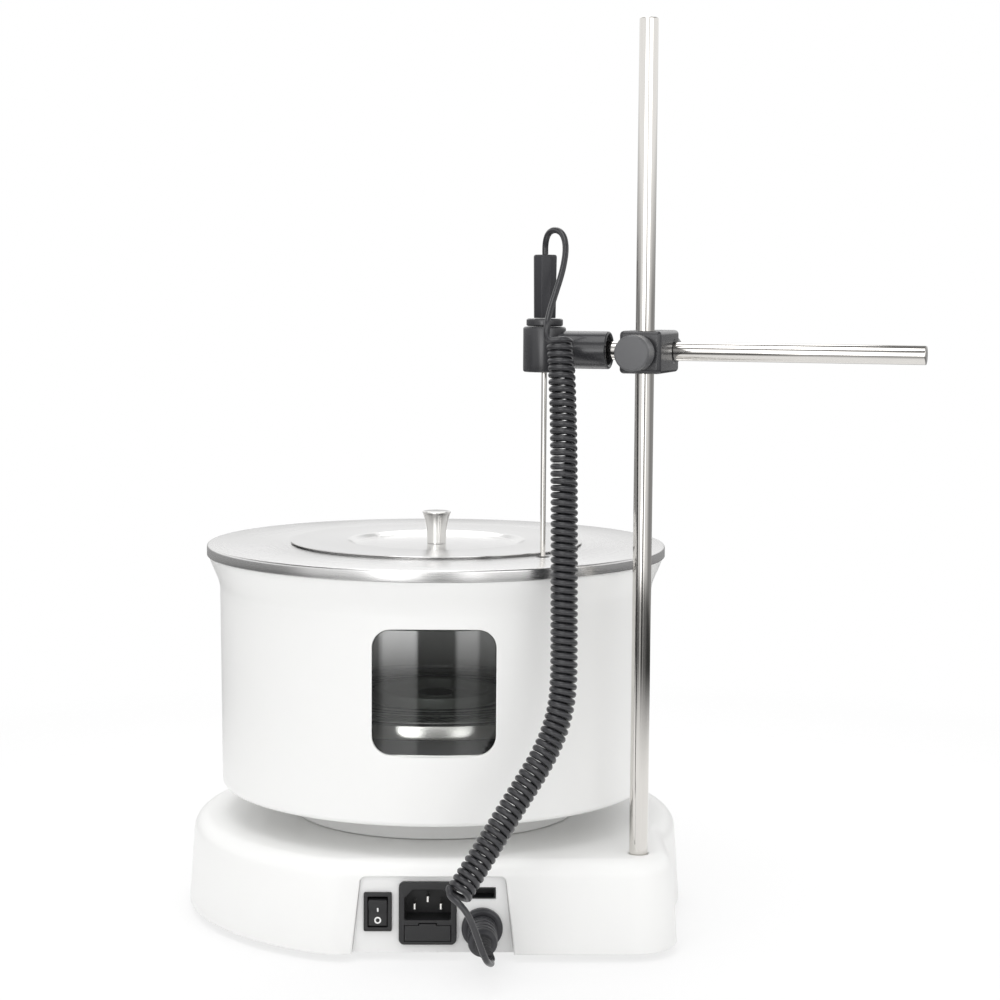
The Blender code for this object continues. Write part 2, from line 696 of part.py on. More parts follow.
def make_switch(panel):
    place = (SWITCH_X, REAR_FACE, SWITCH_Z)
    half_w, half_h = SWITCH_WIDTH / 2, SWITCH_HEIGHT / 2
    flange = box_mesh("switch_frame", (-half_w, GAP, -half_h), (half_w, GAP + SWITCH_FLANGE, half_h))
    inset = SWITCH_BODY_INSET
    body = box_mesh("switch_body", (inset - half_w, -SWITCH_DEPTH, inset - half_h),
                    (half_w - inset, GAP + SWITCH_FLANGE / 2, half_h - inset))
    frame = add_panel_body("switch_frame", panel, flange, body, "black_plastic", place)
    open_w, open_h = half_w - SWITCH_RIM, half_h - SWITCH_RIM
    combine(frame, add_cutter("switch_opening", box_mesh(
        "switch_opening", (-open_w, -SWITCH_DEPTH - CUT_OVER, -open_h),
        (open_w, SWITCH_FLANGE + CUT_OVER, open_h)), location=place))
    pivot = add_empty("rocker_pivot", root, (SWITCH_X, REAR_FACE - ROCKER_PIVOT, SWITCH_Z))
    wide = open_w - GAP
    tall = open_h - ROCKER_PLAY
    face = ROCKER_PIVOT + GAP + SWITCH_FLANGE + ROCKER_PROUD
    side = [(face, tall), (face - ROCKER_VALLEY, 0.0), (face, -tall), (0.0, -tall), (-ROCKER_BACK, 0.0),
            (0.0, tall)]
    rocker = outline_mesh("switch_rocker", side, -wide, wide)
    rocker.transform(Matrix(((0, 0, 1, 0), (1, 0, 0, 0), (0, 1, 0, 0), (0, 0, 0, 1))))
    piece = add_part("switch_rocker", rocker, "black_plastic", pivot)
    piece.rotation_euler = (math.radians(ROCKER_TILT), 0.0, 0.0)


def make_inlet(panel):
    place = (INLET_X, REAR_FACE, INLET_Z)
    face = GAP + INLET_FLANGE
    flange = upright_mesh(
        "inlet_body", rounded_rectangle(INLET_WIDTH, INLET_HEIGHT, INLET_CORNER), GAP, face)
    half_w = INLET_WIDTH / 2 - INLET_BODY_INSET
    half_h = INLET_HEIGHT / 2 - INLET_BODY_INSET
    front = GAP + INLET_FLANGE / 2
    body = box_mesh("inlet_block", (-half_w, -INLET_DEPTH, -half_h), (half_w, front, half_h))
    inlet = add_panel_body("inlet_body", panel, flange, body, "black_plastic", place)
    w, h, c = CAVITY_WIDTH / 2, CAVITY_HEIGHT / 2, CAVITY_CHAMFER
    cavity = [(w, -h), (w, h - c), (w - c, h), (c - w, h), (-w, h - c), (-w, -h)]
    floor = face - CAVITY_DEPTH
    combine(inlet, add_cutter("inlet_cavity", upright_mesh(
        "inlet_cavity", [(x, z + CAVITY_RISE) for x, z in cavity], floor, face + CUT_OVER), location=place))
    slot_w, slot_h = DRAWER_WIDTH / 2 + GAP, DRAWER_HEIGHT / 2 + GAP
    combine(inlet, add_cutter("drawer_slot", box_mesh(
        "drawer_slot", (-slot_w, face - DRAWER_DEPTH - GAP, -DRAWER_DROP - slot_h),
        (slot_w, face + CUT_OVER, slot_h - DRAWER_DROP)), location=place))
    pins = {
        "earth": (0.0, PIN_EARTH_RISE),
        "left": (PIN_SPREAD, -PIN_LINE_DROP),
        "right": (-PIN_SPREAD, -PIN_LINE_DROP),
    }
    for name, (x, z) in pins.items():
        pin = box_mesh("inlet_pin_" + name, (-PIN_WIDTH / 2, floor + GAP, -PIN_HEIGHT / 2),
                       (PIN_WIDTH / 2, floor + GAP + PIN_LENGTH, PIN_HEIGHT / 2))
        pin_place = (INLET_X + x, REAR_FACE, INLET_Z + CAVITY_RISE + z)
        add_part("inlet_pin_" + name, pin, "zinc", location=pin_place)
    drawer_place = (INLET_X, REAR_FACE + face, INLET_Z - DRAWER_DROP)
    drawer = add_part("fuse_drawer", box_mesh(
        "fuse_drawer", (-DRAWER_WIDTH / 2, -DRAWER_DEPTH, -DRAWER_HEIGHT / 2),
        (DRAWER_WIDTH / 2, GAP, DRAWER_HEIGHT / 2)), "black_plastic", location=drawer_place)
    bed = DRAWER_FLOOR - DRAWER_HEIGHT / 2
    trough = FUSE_RADIUS + GAP
    combine(drawer, add_cutter("fuse_trough", box_mesh(
        "fuse_trough", (-FUSE_LENGTH / 2 - GAP, -FUSE_SETBACK - trough, bed),
        (FUSE_LENGTH / 2 + GAP, trough - FUSE_SETBACK, DRAWER_HEIGHT)), location=drawer_place))
    fuse = rod_mesh("fuse", FUSE_RADIUS, -FUSE_LENGTH / 2, FUSE_LENGTH / 2, "X", SMALL_ROUND)
    add_part("fuse", fuse, "glass", location=(
        INLET_X, REAR_FACE + face - FUSE_SETBACK, INLET_Z - DRAWER_DROP + bed + GAP + FUSE_RADIUS))


def make_port(panel):
    place = (PORT_X, REAR_FACE, PORT_Z)
    half_w, half_h = PORT_WIDTH / 2, PORT_HEIGHT / 2
    port = add_part("data_port", box_mesh(
        "data_port", (-half_w, PORT_PROUD - PORT_DEPTH, -half_h), (half_w, PORT_PROUD, half_h)),
        "black_plastic", location=place)
    in_w, in_h = half_w - PORT_WALL, half_h - PORT_WALL
    combine(port, add_cutter("port_pocket", box_mesh(
        "port_pocket", (-in_w, PORT_PROUD - PORT_POCKET, -in_h), (in_w, CUT_OVER, in_h)), location=place))
    combine(panel, add_cutter("port_hole", box_mesh(
        "port_hole", (-half_w - GAP, -PANEL_THICKNESS - CUT_OVER, -half_h - GAP),
        (half_w + GAP, CUT_OVER, half_h + GAP)), location=place))


# The sensor socket and the cord's plug share the axis of one empty, whose +Z points to the rear
def make_socket(panel):
    axis = add_empty("socket_axis", root, (SOCKET_X, REAR_FACE, SOCKET_Z))
    axis.rotation_euler = (math.radians(-90), 0.0, 0.0)
    face = GAP + SOCKET_FLANGE
    floor = face - SOCKET_BORE_DEPTH
    add_turned("sensor_socket", [
        (0.0, floor), (SOCKET_BORE, floor), (SOCKET_BORE, face), (SOCKET_FLANGE_RADIUS, face),
        (SOCKET_FLANGE_RADIUS, GAP), (SOCKET_BARREL_RADIUS, GAP), (SOCKET_BARREL_RADIUS, -SOCKET_DEPTH),
        (0.0, -SOCKET_DEPTH)], "black_plastic", axis, sides=MEDIUM_ROUND)
    combine(panel, add_cutter("socket_hole", rod_mesh(
        "socket_hole", SOCKET_BARREL_RADIUS + GAP, -PANEL_THICKNESS - CUT_OVER, CUT_OVER), axis))
    seat = face + GAP
    end = seat + PLUG_LENGTH
    nose = SOCKET_BORE - GAP
    add_turned("sensor_plug", [
        (0.0, end), (PLUG_RADIUS - PLUG_CHAMFER, end),
        (PLUG_RADIUS, end - PLUG_CHAMFER), (PLUG_RADIUS, seat),
        (nose, seat), (nose, seat - PLUG_NOSE), (0.0, seat - PLUG_NOSE)],
        "black_plastic", axis, sides=MEDIUM_ROUND)
    return (SOCKET_X, REAR_FACE + end, SOCKET_Z)


def make_rods():
    place = (ROD_X, ROD_Y, 0.0)
    socket_top = BASE_CEILING - GAP
    rod_bottom = socket_top - ROD_SOCKET_HEIGHT + ROD_SOCKET_FLOOR + GAP
    socket = add_part("rod_socket", rod_mesh(
        "rod_socket", ROD_SOCKET_RADIUS, socket_top - ROD_SOCKET_HEIGHT, socket_top), "zinc", location=place)
    combine(socket, add_cutter("rod_socket_bore", rod_mesh(
        "rod_socket_bore", ROD_RADIUS + GAP, rod_bottom - GAP, socket_top + CUT_OVER), location=place))
    rod = rod_mesh("support_rod", ROD_RADIUS, rod_bottom, ROD_TOP)
    add_part("support_rod", rod, "steel", location=place)


# The clamp's empty stands on the support rod's axis; its +X runs along the cross rod towards the probe
def make_clamp():
    carriage = add_empty("carriage", root, (ROD_X, ROD_Y, CLAMP_Z), CLAMP_TURN)
    half_w, half_h = CLAMP_WIDTH / 2, CLAMP_HEIGHT / 2
    near, far = CLAMP_COVER, -ROD_SPACING - CLAMP_COVER
    block = add_part("clamp_block", box_mesh(
        "clamp_block", (-half_w, far, -half_h), (half_w, near, half_h)), "clamp_grey", carriage)
    round_edges(block, CLAMP_EDGE, 1)
    bore = ROD_RADIUS + GAP
    combine(block, add_cutter("clamp_rod_bore", rod_mesh(
        "clamp_rod_bore", bore, -half_h - CUT_OVER, half_h + CUT_OVER, sides=MEDIUM_ROUND), carriage))
    combine(block, add_cutter("clamp_cross_bore", rod_mesh(
        "clamp_cross_bore", bore, -half_w - CUT_OVER, half_w + CUT_OVER, "X", MEDIUM_ROUND), carriage,
        (0.0, -ROD_SPACING, 0.0)))
    stud_hole = STUD_RADIUS + GAP
    combine(block, add_cutter("near_stud_hole", rod_mesh(
        "near_stud_hole", stud_hole, 0.0, near + CUT_OVER, "Y", SMALL_ROUND), carriage))
    combine(block, add_cutter("far_stud_hole", rod_mesh(
        "far_stud_hole", stud_hole, far - CUT_OVER, -ROD_SPACING, "Y", SMALL_ROUND), carriage))
    neck = CLAMP_COVER + GAP
    head = neck + KNOB_NECK
    end = head + KNOB_HEAD
    profile = [
        (0.0, end), (KNOB_RADIUS - KNOB_EDGE, end), (KNOB_RADIUS, end - KNOB_EDGE), (KNOB_RADIUS, head),
        (KNOB_NECK_RADIUS, head), (KNOB_NECK_RADIUS, neck), (STUD_RADIUS, neck), (STUD_RADIUS, bore),
        (0.0, bore)]
    for name, y, tilt in (("rod_clamp_knob", 0.0, -90), ("cross_rod_knob", -ROD_SPACING, 90)):
        knob = add_turned(name, profile, "black_plastic", carriage, (0.0, y, 0.0), sides=KNOB_ROUND)
        knob.rotation_euler = (math.radians(tilt), 0.0, 0.0)
    inner_end = PROBE_REACH - ARM_LENGTH + ARM_BORE_DEPTH - GAP
    cross_rod = rod_mesh("cross_rod", ROD_RADIUS, -CROSS_ROD_OVERHANG, inner_end, "X")
    add_part("cross_rod", cross_rod, "steel", carriage, (0.0, -ROD_SPACING, 0.0))
    return carriage


def make_probe(carriage):
    axis = add_empty("probe_axis", carriage, (PROBE_REACH, -ROD_SPACING, 0.0))
    half = HOLDER_HEIGHT / 2
    holder_body = rod_mesh("probe_holder", HOLDER_RADIUS, -half, half)
    holder = add_part("probe_holder", holder_body, "clamp_grey", axis)
    combine(holder, add_cutter("holder_arm", rod_mesh(
        "holder_arm", ARM_RADIUS, -ARM_LENGTH, 0.0, "X"), axis), "UNION")
    passage = SHEATH_RADIUS + GAP
    combine(holder, add_cutter("sheath_passage", rod_mesh(
        "sheath_passage", passage, -half - CUT_OVER, half + CUT_OVER, sides=SMALL_ROUND), axis))
    combine(holder, add_cutter("arm_bore", rod_mesh(
        "arm_bore", ROD_RADIUS + GAP, -ARM_LENGTH - CUT_OVER, ARM_BORE_DEPTH - ARM_LENGTH, "X"), axis))
    combine(holder, add_cutter("arm_recess", rod_mesh(
        "arm_recess", ARM_RECESS_RADIUS, -ARM_LENGTH - CUT_OVER, ARM_RECESS_DEPTH - ARM_LENGTH, "X"), axis))
    nut_low = half + GAP
    nut_high = nut_low + NUT_HEIGHT
    add_turned("holder_nut", [
        (passage, nut_high), (NUT_RADIUS, nut_high), (NUT_RADIUS, nut_low), (passage, nut_low)],
        "black_plastic", axis, ring=True, sides=MEDIUM_ROUND)
    handle_low = nut_high + GAP
    handle_high = handle_low + HANDLE_LENGTH
    add_part("probe_handle", rod_mesh(
        "probe_handle", HANDLE_FOOT_RADIUS, handle_low, handle_high, sides=HANDLE_SIDES,
        end_radius=HANDLE_TOP_RADIUS), "black_plastic", axis)
    sheath = rod_mesh(
        "probe_sheath", SHEATH_RADIUS, SHEATH_TIP_Z - CLAMP_Z, handle_low - GAP, sides=SMALL_ROUND)
    add_part("probe_sheath", sheath, "steel", axis)
    turn = math.radians(CLAMP_TURN)
    x = ROD_X + PROBE_REACH * math.cos(turn) + ROD_SPACING * math.sin(turn)
    y = ROD_Y + PROBE_REACH * math.sin(turn) - ROD_SPACING * math.cos(turn)
    return (x, y), CLAMP_Z + handle_high


def shell_radius(z):
    share = (z - SHELL_BOTTOM) / (SHELL_WAIST_Z - SHELL_BOTTOM)
    return SHELL_FOOT_RADIUS + (SHELL_WAIST_RADIUS - SHELL_FOOT_RADIUS) * share


def make_bath():
    add_turned("bath_pedestal", [
        (PEDESTAL_RADIUS - PEDESTAL_WALL, SHELL_BOTTOM - GAP), (PEDESTAL_RADIUS, SHELL_BOTTOM - GAP),
        (PEDESTAL_RADIUS, BASE_TOP + GAP), (PEDESTAL_RADIUS - PEDESTAL_WALL, BASE_TOP + GAP)],
        "white_plastic", ring=True)
    outer = [(SHELL_WAIST_RADIUS + (SHELL_RIM_RADIUS - SHELL_WAIST_RADIUS) * out,
              SHELL_WAIST_Z + (SHELL_TOP - SHELL_WAIST_Z) * up) for up, out in SHELL_FLARE]
    wall = [(r - SHELL_WALL, z) for r, z in outer]
    floor = SHELL_BOTTOM + SHELL_FLOOR
    shell = add_turned("bath_shell", [
        *outer[::-1],
        (SHELL_FOOT_RADIUS, SHELL_BOTTOM + SHELL_EDGE), (SHELL_FOOT_RADIUS - SHELL_EDGE, SHELL_BOTTOM),
        (SHELL_FLOOR_HOLE, SHELL_BOTTOM), (SHELL_FLOOR_HOLE, floor), (SHELL_FOOT_RADIUS - SHELL_WALL, floor),
        *wall], "white_plastic", ring=True)
    place = (0.0, WINDOW_Z)
    combine(shell, add_cutter("window_opening", upright_mesh(
        "window_opening", rounded_rectangle(WINDOW_WIDTH, WINDOW_HEIGHT, WINDOW_CORNER, place),
        SHELL_FOOT_RADIUS / 2, SHELL_RIM_RADIUS + CUT_OVER)))
    reach = WINDOW_HEIGHT / 2 + WINDOW_MARGIN
    face = [(shell_radius(z) - WINDOW_RECESS, z) for z in (WINDOW_Z + reach, WINDOW_Z - reach)]
    back = [(r - WINDOW_PANE, z) for r, z in face[::-1]]
    pane = add_turned("rear_window", face + back, "glass", ring=True)
    combine(pane, add_cutter("window_outline", upright_mesh(
        "window_outline", rounded_rectangle(
            WINDOW_WIDTH - 2 * GAP, WINDOW_HEIGHT - 2 * GAP, WINDOW_CORNER - GAP, place),
        SHELL_FOOT_RADIUS / 2, SHELL_RIM_RADIUS + CUT_OVER)), "INTERSECT")
    rim = SHELL_TOP - POT_RIM_DROP
    pot_floor = POT_BOTTOM + POT_FLOOR
    add_turned("glass_pot", [
        (0.0, pot_floor), (POT_RADIUS - POT_WALL, pot_floor),
        (POT_RADIUS - POT_WALL, rim), (POT_RADIUS, rim),
        (POT_RADIUS, POT_BOTTOM), (0.0, POT_BOTTOM)], "glass")
    seal_top = SHELL_TOP - SEAL_DROP
    seal_low = seal_top - SEAL_HEIGHT
    seal_radius = float(np.interp(seal_low, [z for r, z in wall], [r for r, z in wall])) - GAP
    add_turned("rim_seal", [
        (POT_RADIUS + GAP, seal_top), (seal_radius, seal_top), (seal_radius, seal_low),
        (POT_RADIUS + GAP, seal_low)], "silicone", ring=True)


def make_cover(probe):
    low = SHELL_TOP + GAP
    under = RING_TOP - RING_SHEET
    ring = add_turned("cover_ring", [
        (RING_MOUTH, RING_TOP), (RING_RADIUS - RING_ROUND, RING_TOP), (RING_RADIUS, RING_TOP - RING_ROUND),
        (RING_RADIUS, low), (RING_RADIUS - RING_SHEET, low), (RING_RADIUS - RING_SHEET, under),
        (RING_MOUTH + RING_SHEET, under), (RING_MOUTH + RING_SHEET, RING_TOP - RING_LIP),
        (RING_MOUTH, RING_TOP - RING_LIP)], "steel", ring=True)
    combine(ring, add_cutter("probe_hole", rod_mesh(
        "probe_hole", PROBE_HOLE_RADIUS, under - CUT_OVER, RING_TOP + CUT_OVER, sides=SMALL_ROUND),
        location=(*probe, 0.0)))
    spigot = RING_MOUTH - LID_SPIGOT_PLAY
    dish = LID_TOP - LID_DISH_DROP
    dish_flat = LID_DISH_RADIUS - LID_DISH_SLOPE
    add_turned("lid", [
        (0.0, dish), (dish_flat, dish), (LID_DISH_RADIUS, LID_TOP), (LID_RADIUS, LID_TOP),
        (LID_RADIUS, LID_BOTTOM), (spigot, LID_BOTTOM), (spigot, LID_BOTTOM - LID_SPIGOT),
        (spigot - LID_SHEET, LID_BOTTOM - LID_SPIGOT), (spigot - LID_SHEET, LID_BOTTOM),
        (LID_DISH_RADIUS, LID_BOTTOM), (dish_flat, dish - LID_SHEET), (0.0, dish - LID_SHEET)], "steel")
    foot = dish + GAP
    shares = [i / LID_KNOB_STEPS for i in range(LID_KNOB_STEPS, -1, -1)]
    spread = LID_KNOB_TOP_RADIUS - LID_KNOB_FOOT_RADIUS
    flare = [(LID_KNOB_FOOT_RADIUS + spread * share ** LID_KNOB_FLARE, foot + LID_KNOB_HEIGHT * share)
             for share in shares]
    add_turned("lid_knob", [(0.0, foot + LID_KNOB_HEIGHT), *flare, (0.0, foot)], "steel", sides=MEDIUM_ROUND)


def make_heater():
    add_turned("insulation_disc", [
        (INSULATION_HOLE, INSULATION_BOTTOM + INSULATION_HEIGHT),
        (INSULATION_RADIUS, INSULATION_BOTTOM + INSULATION_HEIGHT), (INSULATION_RADIUS, INSULATION_BOTTOM),
        (INSULATION_HOLE, INSULATION_BOTTOM)], "insulation", ring=True, sides=HEATER_ROUND)
    inner = HEATER_RADIUS - HEATER_WALL
    mouth = inner - HEATER_LEDGE
    ledge_low = LEDGE_TOP - HEATER_LEDGE_SHEET
    add_turned("heater_housing", [
        (inner, HEATER_TOP), (HEATER_RADIUS, HEATER_TOP), (HEATER_RADIUS, HEATER_BOTTOM),
        (inner, HEATER_BOTTOM), (inner, ledge_low), (mouth, ledge_low), (mouth, LEDGE_TOP),
        (inner, LEDGE_TOP)], "dark_metal", ring=True, sides=HEATER_ROUND)
    add_turned("heater_band", [
        (BAND_RADIUS - BAND_WIDTH, BAND_BOTTOM + BAND_HEIGHT), (BAND_RADIUS, BAND_BOTTOM + BAND_HEIGHT),
        (BAND_RADIUS, BAND_BOTTOM), (BAND_RADIUS - BAND_WIDTH, BAND_BOTTOM)], "steel", ring=True,
        sides=HEATER_ROUND)
    rim = min(inner, BAND_RADIUS - BAND_WIDTH) - GAP
    seat = HOTPLATE_TOP + HOTPLATE_SEAT_RISE
    seat_in = HOTPLATE_SEAT_RADIUS - HOTPLATE_SEAT_WIDTH
    hub = HOTPLATE_TOP + HOTPLATE_HUB_RISE
    profile = [
        (0.0, hub), (HOTPLATE_HUB_RADIUS, hub), (HOTPLATE_HUB_RADIUS, HOTPLATE_TOP), (seat_in, HOTPLATE_TOP),
        (seat_in, seat), (HOTPLATE_SEAT_RADIUS, seat), (HOTPLATE_SEAT_RADIUS, HOTPLATE_TOP)]
    for i, radius in enumerate(reversed(HOTPLATE_RINGS)):
        height = HOTPLATE_TOP - HOTPLATE_STEP * i
        profile += [(radius, height), (radius + HOTPLATE_STEP, height - HOTPLATE_STEP)]
    edge = HOTPLATE_TOP - HOTPLATE_STEP * len(HOTPLATE_RINGS)
    profile += [(rim, edge), (rim, HOTPLATE_BOTTOM), (0.0, HOTPLATE_BOTTOM)]
    add_turned("heater_plate", profile, "dark_metal", sides=HEATER_ROUND)
    bpy.ops.mesh.primitive_torus_add(
        major_segments=HEATER_ROUND, minor_segments=ELEMENT_ROUND,
        major_radius=ELEMENT_CIRCLE, minor_radius=ELEMENT_RADIUS)
    torus = bpy.context.object
    add_part("heating_element", torus.data, "dark_metal",
             location=(0.0, 0.0, HOTPLATE_BOTTOM - GAP - ELEMENT_RADIUS))
    bpy.data.objects.remove(torus, do_unlink=True)


def make_drive():
    add_part("stirrer_motor", rod_mesh("stirrer_motor", MOTOR_RADIUS, MOTOR_BOTTOM, MOTOR_TOP), "zinc")
    add_part("motor_shaft", rod_mesh(
        "motor_shaft", SHAFT_RADIUS, MOTOR_TOP + GAP, CARRIER_BOTTOM - GAP, sides=SMALL_ROUND), "steel")
    axis = add_empty("stirring_axis", root, (0.0, 0.0, CARRIER_BOTTOM))
    half_l, half_w = CARRIER_LENGTH / 2, CARRIER_WIDTH / 2
    carrier = add_part("magnet_carrier", box_mesh(
        "magnet_carrier", (-half_l, -half_w, 0.0), (half_l, half_w, CARRIER_THICKNESS)), "zinc", axis)
    round_edges(carrier, CARRIER_EDGE)
    for name, x in (("magnet_left", -MAGNET_SPREAD), ("magnet_right", MAGNET_SPREAD)):
        low = MAGNET_BOTTOM - CARRIER_BOTTOM
        magnet = rod_mesh(name, MAGNET_RADIUS, low, low + MAGNET_HEIGHT, sides=SMALL_ROUND)
        add_part(name, magnet, "magnet", axis, (x, 0.0, 0.0))


def make_controls():
    back = FRONT_FACE + PANEL_THICKNESS
    middle = (FRONT_PANEL_TOP + FRONT_PANEL_BOTTOM) / 2
    panel = add_part("front_panel", upright_mesh(
        "front_panel", front_outline(-GAP), FRONT_FACE, back), "panel_plastic")
    half_w, half_h = DISPLAY_WIDTH / 2, DISPLAY_HEIGHT / 2
    place = (0.0, FRONT_FACE, middle)
    combine(panel, add_cutter("display_hole", box_mesh(
        "display_hole", (-half_w - GAP, -CUT_OVER, -half_h - GAP),
        (half_w + GAP, PANEL_THICKNESS + CUT_OVER, half_h + GAP)), location=place))
    display = box_mesh("display_window", (-half_w, 0.0, -half_h), (half_w, DISPLAY_THICKNESS, half_h))
    add_part("display_window", display, "display", location=place)
    board_front = back + BOARD_SETBACK
    board_low = PLATE_TOP + GAP
    add_part("control_board", box_mesh(
        "control_board", (-BOARD_WIDTH / 2, board_front, board_low),
        (BOARD_WIDTH / 2, board_front + BOARD_THICKNESS, board_low + BOARD_HEIGHT)), "board_green")
    reach = board_front - FRONT_FACE - GAP
    for name, x in (("temperature_knob", DIAL_SPREAD), ("speed_knob", -DIAL_SPREAD)):
        axis = add_empty(name + "_axis", root, (x, FRONT_FACE, middle))
        axis.rotation_euler = (math.radians(90), 0.0, 0.0)
        add_turned(name, [
            (0.0, DIAL_HEIGHT), (DIAL_TOP_RADIUS, DIAL_HEIGHT), (DIAL_RADIUS, GAP), (DIAL_SHAFT_RADIUS, GAP),
            (DIAL_SHAFT_RADIUS, -reach), (0.0, -reach)], "black_plastic", axis, sides=MEDIUM_ROUND)
        hole = rod_mesh(
            name + "_hole", DIAL_SHAFT_RADIUS + GAP, -PANEL_THICKNESS - CUT_OVER, CUT_OVER,
            sides=SMALL_ROUND)
        combine(panel, add_cutter(name + "_hole", hole, axis))


# A natural cubic spline through the points, at even steps along its length
def smooth_route(points, step):
    points = np.array(points)
    knots = np.concatenate([[0.0], np.cumsum(np.linalg.norm(np.diff(points, axis=0), axis=1))])
    spans = np.diff(knots)
    count = len(points)
    system = np.eye(count)
    right = np.zeros((count, 3))
    slopes = np.diff(points, axis=0) / spans[:, None]
    for i in range(1, count - 1):
        system[i, i - 1:i + 2] = spans[i - 1], 2 * (spans[i - 1] + spans[i]), spans[i]
        right[i] = 6 * (slopes[i] - slopes[i - 1])
    bends = np.linalg.solve(system, right)
    fine = np.linspace(0.0, knots[-1], ROUTE_FINE * count)
    i = np.clip(np.searchsorted(knots, fine, side="right") - 1, 0, count - 2)
    a = ((knots[i + 1] - fine) / spans[i])[:, None]
    b = 1.0 - a
    curve = a * points[i] + b * points[i + 1]
    curve += ((a ** 3 - a) * bends[i] + (b ** 3 - b) * bends[i + 1]) * (spans[i] ** 2)[:, None] / 6
    length = np.concatenate([[0.0], np.cumsum(np.linalg.norm(np.diff(curve, axis=0), axis=1))])
    even = np.linspace(0.0, length[-1], max(2, int(round(length[-1] / step)) + 1))
    return np.stack([np.interp(even, length, curve[:, k]) for k in range(3)], axis=1)


# A tube along points that draws back from its two ends by half a fit
def add_tube(name, points, radius, sides, finish, radii=None):
    points = np.array(points, dtype=float)
    for end, inner in ((0, 1), (-1, -2)):
        way = points[inner] - points[end]
        points[end] += way / np.linalg.norm(way) * GAP / 2
    curve = bpy.data.curves.new(name, "CURVE")
    curve.dimensions = "3D"
    curve.bevel_depth = radius
    curve.bevel_resolution = sides
    curve.use_fill_caps = True
    spline = curve.splines.new("POLY")
    spline.points.add(len(points) - 1)
    spline.points.foreach_set("co", np.column_stack([points, np.ones(len(points))]).ravel())
    if radii is not None:
        spline.points.foreach_set("radius", np.asarray(radii) / radius)
    return add_part(name, curve, finish)


# The strand at the given turns of the coil: it winds about the axis at an even pitch, and turn 0 lies across
def curl_points(axis, turn):
    along = np.concatenate([[0.0], np.cumsum(np.linalg.norm(np.diff(axis, axis=0), axis=1))])
    last = int(along[-1] / COIL_PITCH) + COIL_END
    turn = COIL_START + np.asarray(turn) * (last - COIL_START)
    place = (turn - COIL_START) / (last - COIL_START) * along[-1]
    heading = np.gradient(axis, axis=0)
    centre, tangent = [np.stack([np.interp(place, along, rows[:, k]) for k in range(3)], axis=1)
                       for rows in (axis, heading)]
    tangent /= np.linalg.norm(tangent, axis=1)[:, None]
    across = np.cross(tangent, (0.0, 1.0, 0.0))
    across /= np.linalg.norm(across, axis=1)[:, None]
    outward = np.cross(across, tangent)
    angle = 2 * math.pi * turn
    return centre + COIL_RADIUS * (np.cos(angle)[:, None] * across + np.sin(angle)[:, None] * outward), last


# The whole coil, with a short first and last step so that it meets its leads squarely
def coil_points(axis):
    last = curl_points(axis, [0.0])[1]
    turns = last - COIL_START
    even = np.linspace(0.0, 1.0, int(round(turns * COIL_POINTS)) + 1)
    ease = COIL_EASE / turns
    strand = curl_points(axis, np.concatenate([[0.0, ease], even[1:-1], [1.0 - ease, 1.0]]))[0]
    apart = np.linalg.norm(strand[:, None] - strand[None], axis=2)
    index = np.arange(len(strand))
    near = np.abs(index[:, None] - index[None]) < COIL_POINTS // 2
    gap = apart[~near].min() - 2 * CORD_RADIUS
    print(f"coil: {turns:.1f} curls, least gap to itself {gap * 1000:.2f} mm")
    return strand


def make_cord(probe, handle_top, plug_end):
    gland = np.array((*probe, handle_top + GAP / 2))
    leave = gland + (0.0, 0.0, LEAD_STRAIGHT)
    plug = np.array(plug_end) + (0.0, GAP / 2, 0.0)
    boot = smooth_route([*BOOT_ROUTE, plug + (0.0, BOOT_RADIUS, 0.0), plug], BOOT_STEP)
    strand = coil_points(smooth_route(COIL_ROUTE, CORD_RADIUS / 2))
    ways = strand[1] - strand[0], strand[-1] - strand[-2], boot[1] - boot[0]
    into, out, home = [LEAD_JOIN * way / np.linalg.norm(way) for way in ways]
    upper = smooth_route([gland, leave, *UPPER_ROUTE, strand[0] - into, strand[0]], LEAD_STEP)
    lower = smooth_route([strand[-1], strand[-1] + out, *LOWER_ROUTE, boot[0] - home, boot[0]], LEAD_STEP)
    lengths = [np.linalg.norm(np.diff(path, axis=0), axis=1).sum() for path in (upper, strand, lower)]
    print("cord: upper lead, curls and lower lead", [round(float(length), 3) for length in lengths])
    add_tube("cord_upper_lead", upper, CORD_RADIUS, 1, "cord_grey")
    add_tube("coiled_cord", strand, CORD_RADIUS, 1, "cord_grey")
    add_tube("cord_lower_lead", lower, CORD_RADIUS, 1, "cord_grey")
    taper = np.linspace(BOOT_TIP_RADIUS, BOOT_RADIUS, len(boot))
    add_tube("plug_boot", boot, BOOT_RADIUS, 3, "rubber", taper)


# Centre the assembly over the origin, measured without the free cord and its plug
def centre_over_origin():
    bpy.context.view_layer.update()
    graph = bpy.context.evaluated_depsgraph_get()
    loose = ("cord_upper_lead", "coiled_cord", "cord_lower_lead", "plug_boot", "sensor_plug")
    corners = []
    for part in parts.objects:
        if part.type == "MESH" and part.name not in loose:
            seen = part.evaluated_get(graph)
            corners += [seen.matrix_world @ vertex.co for vertex in seen.to_mesh().vertices]
            seen.to_mesh_clear()
    for axis in (0, 1):
        values = [corner[axis] for corner in corners]
        root.location[axis] = -(min(values) + max(values)) / 2
    print("stirring axis at", tuple(round(value, 5) for value in root.location))


make_base()
rear_panel = make_rear_panel()
make_switch(rear_panel)
make_inlet(rear_panel)
make_port(rear_panel)
plug_end = make_socket(rear_panel)
make_rods()
carriage = make_clamp()
probe_place, handle_top = make_probe(carriage)
make_bath()
make_cover(probe_place)
make_heater()
make_drive()
make_controls()
make_cord(probe_place, handle_top, plug_end)
centre_over_origin()
